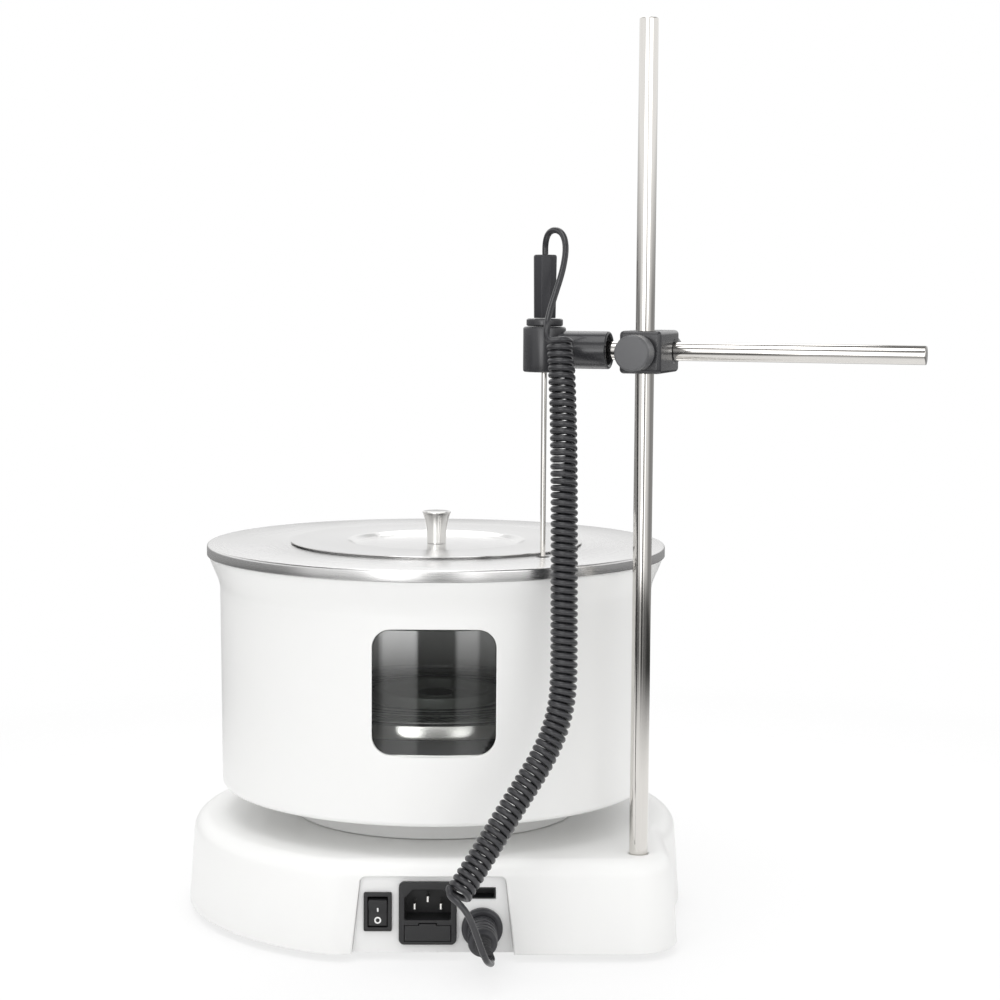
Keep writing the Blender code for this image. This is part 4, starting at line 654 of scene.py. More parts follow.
# A stretch of the cord: a tube put in place of its CAD nodes, its transform baked and its length printed
def addCord(name, rings, path, nodes):
    piece = addPiece(name, loft(name, rings, sharp=60.0), finish["cord"], None, "cord_grey", *nodes)
    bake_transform(piece)
    print(name, "measures", round(pathLength(path), 3), "m")


# Plug in the sensor socket: a turned body with grip rings, and a ribbed boot that bends towards the cord
plug = {
    "radius": 0.0078,
    "length": 0.026,
    "noseRadius": 0.0059,
    "nose": 0.008,
    "rings": 4,
    "ringDepth": 0.00045,
    "bootRadius": 0.0046,
    "bootTip": 0.0029,
    "bootRibs": 6,
    "bootRibDepth": 0.00055,
}
rearFace = float(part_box("rear_panel")[1][1]) - stirAxis[1]
socketX, socketZ = plugEnd[0], plugEnd[2]
plugSeat = plugEnd[1] - 0.00015 - plug["length"]


def plugMesh():
    body = np.linspace(plugSeat + 0.0008, plugSeat + plug["length"] - 0.0026, 60)
    share = (body - body[0]) / (body[-1] - body[0])
    band = np.clip(np.sin(2 * math.pi * (share * plug["rings"])) * 3.0, -1.0, 0.0) * (share > 0.22)
    ridge = plug["radius"] + plug["ringDepth"] * band
    end = plugSeat + plug["length"]
    tail = roundCorners([(plug["radius"], end - 0.0024), (plug["radius"] - 0.0004, end - 0.0013),
                         (plug["radius"] - 0.0022, end), (0.0, end)], 0.0008, 4)
    profile = [(0.0, plugSeat - plug["nose"]), (plug["noseRadius"], plugSeat - plug["nose"]),
               (plug["noseRadius"], plugSeat), (plug["radius"] - 0.0006, plugSeat),
               *np.column_stack([ridge, body]), *tail]
    matrix = Matrix.Translation((socketX, 0.0, socketZ)) @ alongY
    return turned("sensorPlug", profile, 64, matrix=matrix)


def bootMesh():
    share = np.linspace(0.0, 1.0, len(bootRoute))
    taper = plug["bootTip"] + (plug["bootRadius"] - plug["bootTip"]) * share
    ribs = np.clip(np.sin(2 * math.pi * share * plug["bootRibs"]) * 2.5, -1.0, 1.0)
    fade = np.clip(np.minimum(share, 1.0 - share) / 0.08, 0.0, 1.0)
    radii = taper - plug["bootRibDepth"] * (0.5 - 0.5 * ribs) * fade
    return loft("plugBoot", tubeRings(bootRoute, radii, 32), sharp=40.0)


plugPiece = addPiece("sensorPlug", plugMesh(), finish["grip"], "base", "black_plastic", "sensor_plug")
bootPiece = addPiece("plugBoot", bootMesh(), finish["rubber"], "base", "rubber", "plug_boot")
addCord("sensorCordUpper", cordRings[:splitIndex + 1], cordPath[:splitIndex + 1],
        ("cord_upper_lead",))
addCord("sensorCordLower", cordRings[splitIndex:], cordPath[splitIndex:],
        ("coiled_cord", "cord_lower_lead"))
print("cord made:", round(curlCount, 1), "curls")


# Places and turns for pieces drawn as (across, up, outwards) on the rear and the front
def onRear(x, z, y=0.0):
    return Matrix(((1, 0, 0, x), (0, 0, 1, rearFace + y), (0, 1, 0, z), (0, 0, 0, 1)))


def onFront(x, z, y=0.0):
    return Matrix(((1, 0, 0, x), (0, 0, -1, frontFace - y), (0, 1, 0, z), (0, 0, 0, 1)))


def arcPoints(centre, radius, start, end, count):
    angle = np.linspace(start, end, count)
    return np.column_stack([centre[0] + radius * np.cos(angle), centre[1] + radius * np.sin(angle)])


# A soft corner: a parabola from one point to another, drawn towards the corner
def softCorner(first, corner, last, count=9):
    t = np.linspace(0.0, 1.0, count + 2)[1:-1, None]
    return (1 - t) ** 2 * np.array(first) + 2 * t * (1 - t) * np.array(corner) + t ** 2 * np.array(last)


# A convex lip of the given radius where a cutter leaves a face: it grows outwards as it comes to the face
def lipLevels(face, lip, deep, out=0.004, steps=5):
    angle = np.linspace(0.0, math.pi / 2, steps + 1)
    curve = [(-lip * (1 - math.cos(a)), face - lip * (1 - math.sin(a))) for a in angle]
    return [(0.0, deep), *curve, (-lip, face + out)]


# Base housing: a hollow loft of one outline, a circle with flats, soft junctions and a squared rear corner
base = {
    "low": 0.004,
    "top": 0.054,
    "radius": 0.143,
    "rear": 0.1312,
    "front": 0.1312,
    "side": 0.1325,
    "corner": 0.027,
    "draft": 0.0036,
    "fillet": 0.009,
    "wall": 0.0032,
    "ceiling": 0.0505,
    "roofHole": 0.050,
    "lowEdge": 0.0010,
    "junction": math.radians(3.2),
    "lip": 0.0008,
    "revealWall": 0.0025,
    "panelCorner": 0.0032,
    "panel": 0.0025,
    "rearLow": 0.004,
    "rearHigh": 0.0457,
    "rearLowWidth": 0.0864,
    "rearHighWidth": 0.077,
    "frontWidth": 0.098,
    "frontHeight": 0.0335,
    "frontMiddle": 0.02725,
    "rodBore": 0.0053,
    "rodLip": 0.0006,
    "rod": (-0.1105, 0.109),
}
frontFace = float(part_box("front_panel")[0][1]) - stirAxis[1]
rodSpot = Matrix.Translation((*base["rod"], 0.0))


def baseScale(z):
    rise = (np.clip(z, base["low"], base["top"]) - base["low"]) / (base["top"] - base["low"])
    return 1.0 - base["draft"] / base["radius"] * rise


def baseOutline(inset):
    sizes = ("radius", "rear", "front", "side", "corner")
    radius, rear, front, side, corner = [base[size] - inset for size in sizes]
    rearTurn, frontTurn = math.asin(rear / radius), math.asin(front / radius)
    sideTurn = math.acos(side / radius)
    trim = base["junction"]
    step = radius * trim
    right = arcPoints((0, 0), radius, trim - frontTurn, rearTurn - trim, 90)
    left = arcPoints((0, 0), radius, math.pi - sideTurn + trim, math.pi + frontTurn - trim, 56)
    square = arcPoints((corner - side, rear - corner), corner, math.pi / 2, math.pi, 18)
    rearRight = np.array((radius * math.cos(rearTurn), rear))
    sideRear = np.array((-side, radius * math.sin(sideTurn)))
    frontLeft = np.array((-radius * math.cos(frontTurn), -front))
    frontRight = np.array((radius * math.cos(frontTurn), -front))
    return np.concatenate([
        right, softCorner(right[-1], rearRight, rearRight - (step, 0)), [rearRight - (step, 0)],
        square, [sideRear + (0, step)], softCorner(sideRear + (0, step), sideRear, left[0]),
        left, softCorner(left[-1], frontLeft, frontLeft + (step, 0)), [frontLeft + (step, 0)],
        [frontRight - (step, 0)], softCorner(frontRight - (step, 0), frontRight, right[0])])


# Trapezoid of the rear panel and rectangle of the front one, grown on all sides, with rounded corners
def rearOutline(grow, below=0.0):
    lowHalf, highHalf = base["rearLowWidth"] / 2, base["rearHighWidth"] / 2
    slope = (lowHalf - highHalf) / (base["rearHigh"] - base["rearLow"])
    low, high = base["rearLow"] - below, base["rearHigh"] + grow
    lowHalf, highHalf = lowHalf + grow + slope * below, highHalf + grow - slope * grow
    corner = base["panelCorner"] + grow
    return roundCorners([(lowHalf, low), (highHalf, high), (-highHalf, high), (-lowHalf, low)],
                        [0.0, corner, corner, 0.0], 8, True)


def frontOutline(grow):
    return roundedRectangle(base["frontWidth"], base["frontHeight"], base["panelCorner"], -grow, 8,
                            (0.0, base["frontMiddle"]))


# Wall of a panel's recess, from behind the panel to the middle of the leaning wall
def revealMesh(outline, face, wall, sign):
    x, z = outline.T
    behind = np.full(len(outline), face - sign * base["panel"])
    ahead = sign * (wall - base["wall"] / 2) * baseScale(z)
    return loft("reveal", [np.column_stack([x, y, z]) for y in (behind, ahead)])


# Opening through the leaning wall: its lip follows the wall's lean
def openingMesh(outlineAt, face, wall, sign):
    rings = []
    deep = -0.03
    for grow, level in lipLevels(0.0, base["lip"], deep):
        flat = outlineAt(-grow)
        reach = wall * baseScale(flat[:, 1]) + level
        if level == deep:
            reach = np.full(len(flat), abs(face) - 0.006)
        rings.append(np.column_stack([flat[:, 0], sign * reach, flat[:, 1]]))
    return loft("opening", rings)


def baseMesh():
    outline = baseOutline(0.0)
    around = np.arctan2(outline[:, 1], outline[:, 0])
    hole = base["roofHole"] * np.column_stack([np.cos(around), np.sin(around)])
    edge = roundOver(base["fillet"], base["top"], 8)[::-1]
    low = roundUnder(base["lowEdge"], base["low"], 3)[::-1]

    def ringAt(inset, height):
        flat = baseOutline(inset) * baseScale(height)
        return np.column_stack([flat, np.full(len(flat), height)])

    def holeAt(height):
        return np.column_stack([hole, np.full(len(hole), height)])

    rim, mouth = ringAt(*edge[0]), holeAt(base["top"])
    inside = [ringAt(base["wall"], height) for height in (base["low"], base["ceiling"])]
    roof = [mouth + (rim - mouth) * share for share in (0.0, 0.4, 0.8)]
    outside = [ringAt(*level) for level in edge + low]
    rings = np.array([*inside, holeAt(base["ceiling"]), *roof, *outside])
    shell = makeMesh("baseHousing", rings, gridFaces(len(rings), len(outline), True, True))
    reveals = [revealMesh(rearOutline(base["revealWall"]), rearFace, base["rear"], 1.0),
               revealMesh(frontOutline(base["revealWall"]), frontFace, base["front"], -1.0)]
    openings = [openingMesh(lambda grow: rearOutline(grow, base["low"]), rearFace, base["rear"], 1.0),
                openingMesh(frontOutline, frontFace, base["front"], -1.0)]
    bore, lip = base["rodBore"], base["rodBore"] + base["rodLip"]
    rodHole = turned("rodHole", [(0, 0.03), (bore, 0.03), (bore, base["top"] - base["rodLip"]),
                                 (lip, base["top"]), (lip, 0.07), (0, 0.07)], 48, matrix=rodSpot)
    return carve(carve(shell, reveals, "UNION"), [*openings, rodHole], sharp=28.0)


addPiece("baseHousing", baseMesh(), finish["white"], "base", "white_plastic", "base_housing")
print("base made")

# Feet: turned rubber with a rounded sole
foot = {"circle": 0.108, "radius": 0.010, "sole": 0.009, "top": 0.0047, "edge": 0.0009}
for i, corner in enumerate(("rear_right", "rear_left", "front_left", "front_right")):
    turn = math.radians(45 + 90 * i)
    profile = roundCorners([(0, 0), (foot["sole"], 0), (foot["radius"], foot["top"]), (0, foot["top"])],
                           foot["edge"], 4)
    spot = Matrix.Translation((foot["circle"] * math.cos(turn), foot["circle"] * math.sin(turn), 0.0))
    addPiece("foot." + corner, turned("foot", profile, 48, matrix=spot), finish["rubber"], "base", "rubber",
             "foot_" + corner)

# Rear panel: a plate with holes for what it carries
switch = {"x": 0.0294, "z": 0.0264, "width": 0.015, "height": 0.021, "corner": 0.0009, "flange": 0.002,
          "rim": 0.0022, "bodyInset": 0.0012, "depth": 0.012, "edge": 0.0006}
inlet = {"x": 0.0028, "z": 0.0258, "width": 0.0308, "height": 0.0339, "corner": 0.003, "flange": 0.003,
         "depth": 0.020, "bodyInset": 0.0016, "edge": 0.0007, "cavityWidth": 0.0246, "cavityHeight": 0.0166,
         "cavityRise": 0.0048, "cavityDepth": 0.0155, "chamfer": 0.0045, "lip": 0.0005}
port = {"x": -0.0265, "z": 0.0363, "width": 0.0133, "height": 0.0057, "corner": 0.0007, "depth": 0.012,
        "wall": 0.0006, "pocket": 0.009, "proud": 0.0006}
socket = {"flangeRadius": 0.011, "flange": 0.0035, "barrel": 0.0082, "depth": 0.010, "bore": 0.0062,
          "boreDepth": 0.009}
gap = 0.0003
socketSpot = Matrix.Translation((socketX, rearFace, socketZ)) @ alongY


# Hole for the body of a unit, which stands in from its flange
def holeBox(unit, inset=0.0):
    w, h = [unit[size] / 2 - inset + gap for size in ("width", "height")]
    return boxMesh("hole", (-w, -h, -0.006), (w, h, 0.004), onRear(unit["x"], unit["z"]))


def rearPanelMesh():
    levels = edgeLevels(-base["panel"], 0.0, 0.0001, 0.0003, 3)
    panel = plate("rearPanel", lambda inset: rearOutline(-0.0001 - inset), levels, onRear(0.0, 0.0))
    socketHole = drill(socket["barrel"] + gap, -0.006, 0.004, socketSpot)
    unitHoles = [holeBox(unit, unit["bodyInset"]) for unit in (switch, inlet)]
    return carve(panel, [*unitHoles, holeBox(port), socketHole])


addPiece("rearPanel", rearPanelMesh(), finish["panel"], "base", "panel_plastic", "rear_panel")


# Switch frame: a cup whose flange is rounded outside and falls softly into its opening
def switchFrameMesh():
    face, rim, body = gap + switch["flange"], switch["rim"], switch["bodyInset"]
    angle = np.linspace(0.0, math.pi / 2, 5)
    inner = [(rim - 0.0004 * (1 - math.sin(a)), face - 0.0004 * (1 - math.cos(a))) for a in angle]
    levels = [(body, -switch["depth"]), (body, gap), (0.0, gap), *roundOver(switch["edge"], face), *inner,
              (rim, 0.0001 - switch["depth"])]
    return plate("switchFrame", lambda inset: roundedRectangle(
        switch["width"], switch["height"], max(switch["corner"], inset + 0.0004), inset), levels,
        onRear(switch["x"], switch["z"]))


addPiece("switchFrame", switchFrameMesh(), finish["black"], "base", "black_plastic", "switch_frame")

# Rocker: a side view of two faces that meet in a soft valley, carried across and tilted about its pivot
rocker = {"pivot": 0.0015, "face": 0.0042, "half": 0.0074, "wide": 0.005, "valley": 0.0018, "back": 0.006,
          "tilt": -9.0, "edge": 0.0004, "markI": 0.0012, "markO": -0.0042}
rockerTurn = Matrix.Translation((switch["x"], rearFace - rocker["pivot"], switch["z"])) @ Matrix.Rotation(
    math.radians(rocker["tilt"]), 4, "X")


def rockerMesh():
    face, half = rocker["face"], rocker["half"]
    side = roundCorners([(face, half), (face - rocker["valley"], 0.0), (face, -half), (0.0, -half),
                         (-rocker["back"], 0.0), (0.0, half)],
                        [0.0005, 0.008, 0.0005, 0.0003, 0.001, 0.0003], 5, True)
    middle = np.array((-0.001, 0.0))
    carry = Matrix(((0, 0, 1, 0), (1, 0, 0, 0), (0, 1, 0, 0), (0, 0, 0, 1)))
    levels = edgeLevels(-rocker["wide"], rocker["wide"], rocker["edge"], rocker["edge"], 3)

    def sideAt(inset):
        return middle + (side - middle) * (1 - inset / rocker["wide"])

    return plate("rocker", sideAt, levels, rockerTurn @ carry)


# Face of the rocker at a height: across, up the face and out of it
def rockerFace(z):
    up = 1.0 if z > 0 else -1.0
    slope = math.atan2(rocker["valley"], rocker["half"])
    s, c = up * math.sin(slope), math.cos(slope)
    y = rocker["face"] - rocker["valley"] * (1 - abs(z) / rocker["half"])
    y += 0.0004 * max(0.0, 1.0 - abs(z) / 0.0016)
    return rockerTurn @ Matrix(((1, 0, 0, 0), (0, s, c, y), (0, c, -s, z), (0, 0, 0, 1)))


def markBarMesh():
    levels = edgeLevels(-0.0002, 0.00006, 0.00002, 0.00003, 2)
    return tile("markI", (0.00085, 0.0031), 0.0002, levels, rockerFace(rocker["markI"]))


def markRingMesh():
    profile = [(0.00105, -0.0002), (0.00185, -0.0002), (0.00185, 0.00004), (0.0018, 0.00006),
               (0.0011, 0.00006), (0.00105, 0.00004)]
    return turned("markO", profile, 32, True, rockerFace(rocker["markO"]))


addPiece("switchRocker", rockerMesh(), finish["black"], "rocker", "black_plastic", "switch_rocker")
addPiece("switchMarkI", markBarMesh(), finish["mark"], "rocker", "white_plastic")
addPiece("switchMarkO", markRingMesh(), finish["mark"], "rocker", "white_plastic")


# Mains inlet: a rounded flange on a block, with the chamfered cavity and the slot of the fuse drawer cut out
def inletMesh():
    face = gap + inlet["flange"]
    levels = [(inlet["bodyInset"], -inlet["depth"]), (inlet["bodyInset"], gap), (0.0, gap),
              *roundOver(inlet["edge"], face)]
    spot = onRear(inlet["x"], inlet["z"])
    body = tile("inletBody", (inlet["width"], inlet["height"]), inlet["corner"], levels, spot)
    w, h, c = inlet["cavityWidth"] / 2, inlet["cavityHeight"] / 2, inlet["chamfer"]
    shape = np.array([(w, -h), (w, h - c), (w - c, h), (c - w, h), (-w, h - c), (-w, -h)])

    def cavityAt(inset):
        grown = shape * (1 - np.array((inset / w, inset / h)))
        return roundCorners(grown, 0.0011 - inset, 5, True) + (0.0, inlet["cavityRise"])

    cavity = plate("cavity", cavityAt, lipLevels(face, inlet["lip"], face - inlet["cavityDepth"]), spot)
    slotW, slotH, tabW = [drawer[size] / 2 + gap for size in ("width", "height", "tabWidth")]
    slotTop = slotH - drawer["drop"]
    slot = boxMesh("slot", (-slotW, -drawer["drop"] - slotH, face - drawer["depth"] - gap),
                   (slotW, slotTop, face + 0.004), spot)
    tabSlot = boxMesh("tabSlot", (-tabW, slotTop - 0.001, face - 0.003),
                      (tabW, slotTop + drawer["tabRise"], face + 0.004), spot)
    return carve(body, [cavity, slot, tabSlot])


drawer = {"width": 0.0246, "height": 0.0084, "drop": 0.0106, "depth": 0.0165, "floor": 0.0018, "edge": 0.0004,
          "corner": 0.0006, "tabWidth": 0.0094, "tabHeight": 0.003, "tabRise": 0.0012, "fuseRadius": 0.0025,
          "fuseLength": 0.020, "fuseSetback": 0.008, "capLength": 0.005}
drawerSpot = onRear(inlet["x"], inlet["z"] - drawer["drop"], gap + inlet["flange"])


# Fuse drawer: a rounded block with a finger tab at its top and a trough for the fuse
def drawerMesh():
    block = tile("fuseDrawer", (drawer["width"], drawer["height"]), drawer["corner"],
                 edgeLevels(-drawer["depth"], gap, 0.0003, drawer["edge"], 4), drawerSpot)
    h, tabHeight = drawer["height"] / 2, drawer["tabHeight"]
    tab = tile("tab", (drawer["tabWidth"] - gap, tabHeight), 0.0005,
               edgeLevels(-0.0025, gap, 0.0001, drawer["edge"], 4), drawerSpot,
               centre=(0.0, h + drawer["tabRise"] - gap - tabHeight / 2))
    reach, half = drawer["fuseRadius"] + gap, drawer["fuseLength"] / 2 + gap
    trough = boxMesh("trough", (-half, drawer["floor"] - h, -drawer["fuseSetback"] - reach),
                     (half, h + 0.004, reach - drawer["fuseSetback"]), drawerSpot)
    return carve(carve(block, [tab], "UNION"), [trough])


def fuseMatrix():
    h = drawer["floor"] - drawer["height"] / 2 + gap + drawer["fuseRadius"]
    return drawerSpot @ Matrix.Translation((0.0, h, -drawer["fuseSetback"])) @ alongX


def fuseTubeMesh():
    half, radius = drawer["fuseLength"] / 2 - 0.0002, drawer["fuseRadius"] - 0.0002
    return roundBar("fuse", radius, -half, half, 0.0002, 0.0002, 32, fuseMatrix(), 2)


def fuseCapMesh(sign):
    half, cap = drawer["fuseLength"] / 2, drawer["capLength"]
    low, high = sorted((sign * half, sign * (half - cap)))
    return roundBar("fuseCap", drawer["fuseRadius"], low, high, 0.0004, 0.0004, 32, fuseMatrix())


addPiece("inletBody", inletMesh(), finish["black"], "base", "black_plastic", "inlet_body")
addPiece("fuseDrawer", drawerMesh(), finish["black"], "drawer", "black_plastic", "fuse_drawer")
addPiece("fuseTube", fuseTubeMesh(), finish["mark"], "drawer", "glass", "fuse")
addPiece("fuseCapLeft", fuseCapMesh(1), finish["pin"], "drawer", "zinc")
addPiece("fuseCapRight", fuseCapMesh(-1), finish["pin"], "drawer", "zinc")
for label, x, z in (("earth", 0.0, 0.0022), ("left", 0.007, -0.0018), ("right", -0.007, -0.0018)):
    floor = gap + inlet["flange"] - inlet["cavityDepth"] + gap
    pin = tile("inletPin", (0.0015, 0.0036), 0.0004, edgeLevels(floor, floor + 0.012, 0.0001, 0.0006, 4),
               onRear(inlet["x"] + x, inlet["z"] + inlet["cavityRise"] + z))
    addPiece("inletPin." + label, pin, finish["pin"], "base", "zinc", "inlet_pin_" + label)


# Data port: a thin-walled cup
def portMesh():
    levels = [(0.0, port["proud"] - port["depth"]), (0.0, port["proud"] - 0.0002), (0.00015, port["proud"]),
              (port["wall"] - 0.00015, port["proud"]), (port["wall"], port["proud"] - 0.0002),
              (port["wall"], port["proud"] - port["pocket"])]
    return plate("dataPort", lambda inset: roundedRectangle(
        port["width"], port["height"], port["corner"] + inset, inset), levels, onRear(port["x"], port["z"]))


def socketMesh():
    face = gap + socket["flange"]
    floor = face - socket["boreDepth"]
    bore, rim = socket["bore"], socket["flangeRadius"]
    ring = roundCorners([(bore, floor), (bore, face - 0.0012), (bore + 0.0012, face), (rim - 0.0014, face),
                         (rim, face - 0.0008), (rim, gap)], 0.0006, 4)
    profile = [(0.0, floor), *ring, (socket["barrel"], gap), (socket["barrel"], -socket["depth"]),
               (0.0, -socket["depth"])]
    return turned("sensorSocket", profile, 80, matrix=socketSpot)


addPiece("dataPort", portMesh(), finish["black"], "base", "black_plastic", "data_port")
addPiece("sensorSocket", socketMesh(), finish["grip"], "base", "black_plastic", "sensor_socket")
print("rear panel made")

# Stand: the rods, the clamp with its two knobs, the probe holder and the probe
rod = {"radius": 0.005, "top": 0.498, "lowEdge": 0.0003, "topEdge": 0.0007, "crossEdge": 0.0005}
rodLow = float(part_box("support_rod")[0][2])
rodMesh = roundBar("supportRod", rod["radius"], rodLow, rod["top"], rod["lowEdge"], rod["topEdge"], 64,
                   rodSpot)
addPiece("supportRod", rodMesh, finish["rod"], "base", "steel", "support_rod")

clamp = {"z": 0.324, "width": 0.0225, "near": 0.011, "far": -0.031, "edge": 0.0022, "bore": 0.0053,
         "stud": 0.0033, "spacing": 0.020, "rodLow": -0.145, "rodHigh": 0.0458}
clampSpot = Matrix.Translation((*base["rod"], clamp["z"])) @ Matrix.Rotation(clampTurn, 4, "Z")
crossSpot = clampSpot @ Matrix.Translation((0.0, -clamp["spacing"], 0.0))


def clampMesh():
    near, far, edge, half = clamp["near"], clamp["far"], clamp["edge"], clamp["width"] / 2
    block = tile("clampBlock", (clamp["width"], near - far), edge, edgeLevels(-half, half, edge, edge, 5),
                 clampSpot, centre=(0.0, (near + far) / 2))
    bore = drill(clamp["bore"], -0.02, 0.02, clampSpot)
    lip = clamp["bore"] + 0.0012
    crossBore = turned("bore", [(0, -0.02), (lip, -0.02), (lip, -half), (clamp["bore"], 0.0012 - half),
                                (clamp["bore"], half - 0.0012), (lip, half), (lip, 0.02), (0, 0.02)], 48,
                       matrix=crossSpot @ alongX)
    nearHole = drill(clamp["stud"], 0.0, 0.016, clampSpot @ alongY, 24)
    farHole = drill(clamp["stud"], 0.0, -0.016, crossSpot @ alongY, 24)
    return carve(block, [bore, crossBore, nearHole, farHole])


# Clamp knob: a plain round head with a thin chamfer, a neck and a stud
knob = {"radius": 0.0094, "edge": 0.0009, "neckRadius": 0.0068, "neck": 0.0113, "head": 0.0163, "end": 0.0291,
        "stud": 0.003, "studEnd": 0.0053}


def knobMesh(matrix):
    head = roundCorners([(0.0, knob["end"]), (knob["radius"] - knob["edge"], knob["end"]),
                         (knob["radius"], knob["end"] - knob["edge"]), (knob["radius"], knob["head"]),
                         (knob["neckRadius"], knob["head"])], [0, 0.0003, 0.0005, 0.0006, 0], 4)
    profile = [*head, (knob["neckRadius"], knob["neck"]), (knob["stud"], knob["neck"]),
               (knob["stud"], knob["studEnd"]), (0.0, knob["studEnd"])]
    return turned("clampKnob", profile, 72, matrix=matrix, sharp=26.0)


addPiece("clampBlock", clampMesh(), finish["clamp"], "carriage", "clamp_grey", "clamp_block")
addPiece("rodClampKnob", knobMesh(clampSpot @ alongY), finish["knob"], "rod_knob", "black_plastic",
         "rod_clamp_knob")
addPiece("crossRodKnob", knobMesh(crossSpot @ alongY.inverted()), finish["knob"], "cross_knob",
         "black_plastic", "cross_rod_knob")
crossRod = roundBar("crossRod", rod["radius"], clamp["rodLow"], clamp["rodHigh"], rod["crossEdge"],
                    rod["crossEdge"], 64, crossSpot @ alongX)
addPiece("crossRod", crossRod, finish["crossRod"], "carriage", "steel", "cross_rod")

holder = {"reach": 0.0614, "radius": 0.01165, "half": 0.0123, "armRadius": 0.0102, "armLength": 0.0368,
          "armBore": 0.0053, "boreDepth": 0.0215, "recess": 0.008, "recessDepth": 0.0025, "passage": 0.0018,
          "edge": 0.0012}
probeSpot = crossSpot @ Matrix.Translation((holder["reach"], 0.0, 0.0))


def holderMesh():
    half, edge, end = holder["half"], holder["edge"], -holder["armLength"]
    body = roundBar("probeHolder", holder["radius"], -half, half, edge, edge, 80, probeSpot)
    arm = roundBar("arm", holder["armRadius"], end, 0.0, 0.0009, 0.0002, 72, probeSpot @ alongX)
    passage = drill(holder["passage"], -0.02, 0.02, probeSpot, 24)
    recess, bore = holder["recess"], holder["armBore"]
    lip, floor, back = recess + 0.0009, end + holder["recessDepth"], end + holder["boreDepth"]
    cone = turned("recess", [(0, end - 0.004), (lip, end - 0.004), (lip, end), (recess, end + 0.0006),
                             (recess, floor), (bore, floor), (bore, back), (0, back)], 64,
                  matrix=probeSpot @ alongX)
    return carve(carve(body, [arm], "UNION"), [passage, cone])


addPiece("probeHolder", holderMesh(), finish["clamp"], "carriage", "clamp_grey", "probe_holder")

nut = {"radius": 0.00995, "low": 0.0126, "high": 0.0167, "bore": 0.0018, "edge": 0.0006, "topEdge": 0.0008}


def nutMesh():
    radius, low, high, bore, edge = [nut[size] for size in ("radius", "low", "high", "bore", "edge")]
    profile = roundCorners([(bore, low), (radius - edge, low), (radius, low + edge), (radius, high - edge),
                            (radius - nut["topEdge"], high), (bore, high)],
                           [0, 0.0004, 0.0004, 0.0004, 0.0004, 0], 3)
    return turned("holderNut", profile, 80, True, probeSpot)


addPiece("holderNut", nutMesh(), finish["clamp"], "nut", "black_plastic", "holder_nut")

handle = {"low": 0.0170, "high": 0.0513, "footRadius": 0.0062, "topRadius": 0.0066, "sides": 8, "soft": 0.12,
          "edge": 0.0012}


# Handle: an octagon with soft edges that widens towards its rounded top
def handleMesh():
    turn = np.linspace(0.0, 2 * math.pi, handle["sides"], endpoint=False)
    octagon = roundCorners(np.column_stack([np.cos(turn), np.sin(turn)]), handle["soft"], 4, True)
    rings = []
    for inset, height in edgeLevels(handle["low"], handle["high"], 0.0004, handle["edge"], 5):
        share = (height - handle["low"]) / (handle["high"] - handle["low"])
        radius = handle["footRadius"] + (handle["topRadius"] - handle["footRadius"]) * min(1.0, share * 1.25)
        flat = octagon * (radius - inset)
        rings.append(np.column_stack([flat, np.full(len(flat), height)]))
    return loft("probeHandle", rings, probeSpot, 24.0)


addPiece("probeHandle", handleMesh(), finish["grip"], "probe", "black_plastic", "probe_handle")
sheathLow, sheathHigh = [float(end[2]) - clamp["z"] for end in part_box("probe_sheath")]
sheath = {"radius": 0.0015, "tip": 0.0012, "end": 0.0002}
sheathMesh = roundBar("probeSheath", sheath["radius"], sheathLow, sheathHigh, sheath["tip"], sheath["end"],
                      32, probeSpot)
addPiece("probeSheath", sheathMesh, finish["rod"], "probe", "steel", "probe_sheath")
print("stand made")

# Bath: pedestal, shell with its window, seal and glass pot
bath = {"pedestal": 0.082, "pedestalWall": 0.008, "pedestalLow": 0.0543, "pedestalHigh": 0.0707,
        "bottom": 0.071, "top": 0.2035, "foot": 0.1237, "waist": 0.1248, "waistZ": 0.184, "rim": 0.1312,
        "wall": 0.0025, "floorHole": 0.060, "edge": 0.0032, "windowZ": 0.1434, "windowWidth": 0.066,
        "windowHeight": 0.0675, "windowCorner": 0.010, "windowLip": 0.0007, "recess": 0.0006, "pane": 0.0017,
        "pot": 0.1045, "potWall": 0.003, "potLow": 0.1230, "potFloor": 0.1260, "potRim": 0.2030,
        "sealLow": 0.1985, "sealTop": 0.2025}
pedestal = hoop("bathPedestal", bath["pedestal"] - bath["pedestalWall"], bath["pedestal"],
                bath["pedestalLow"], bath["pedestalHigh"], [0, 0.0008, 0.0008, 0], 4, 160)
addPiece("bathPedestal", pedestal, finish["white"], "base", "white_plastic", "bath_pedestal")


# Flare towards the rim: out is u squared times (2.2 - 1.2 u), with u the share of the way up from the waist
def shellOuter():
    u = np.linspace(0.0, 1.0, 14)
    out = u * u * (2.2 - 1.2 * u)
    return np.column_stack([bath["waist"] + (bath["rim"] - bath["waist"]) * out,
                            bath["waistZ"] + (bath["top"] - bath["waistZ"]) * u])


# Radius of the shell's leaning wall at the given heights, below the waist
def wallRadius(z):
    share = (z - bath["bottom"]) / (bath["waistZ"] - bath["bottom"])
    return bath["foot"] + (bath["waist"] - bath["foot"]) * share


def windowOutline(grow):
    return roundedRectangle(bath["windowWidth"], bath["windowHeight"], bath["windowCorner"], -grow, 10,
                            (0.0, bath["windowZ"]))


# Cutter through the rear wall whose lip follows the curve of the shell
def windowCutter():
    rings = []
    for grow, level in lipLevels(0.0, bath["windowLip"], -0.02, 0.006):
        flat = windowOutline(-grow)
        reach = np.sqrt((wallRadius(flat[:, 1]) + level) ** 2 - flat[:, 0] ** 2)
        rings.append(np.column_stack([flat[:, 0], reach, flat[:, 1]]))
    return loft("windowCutter", rings)


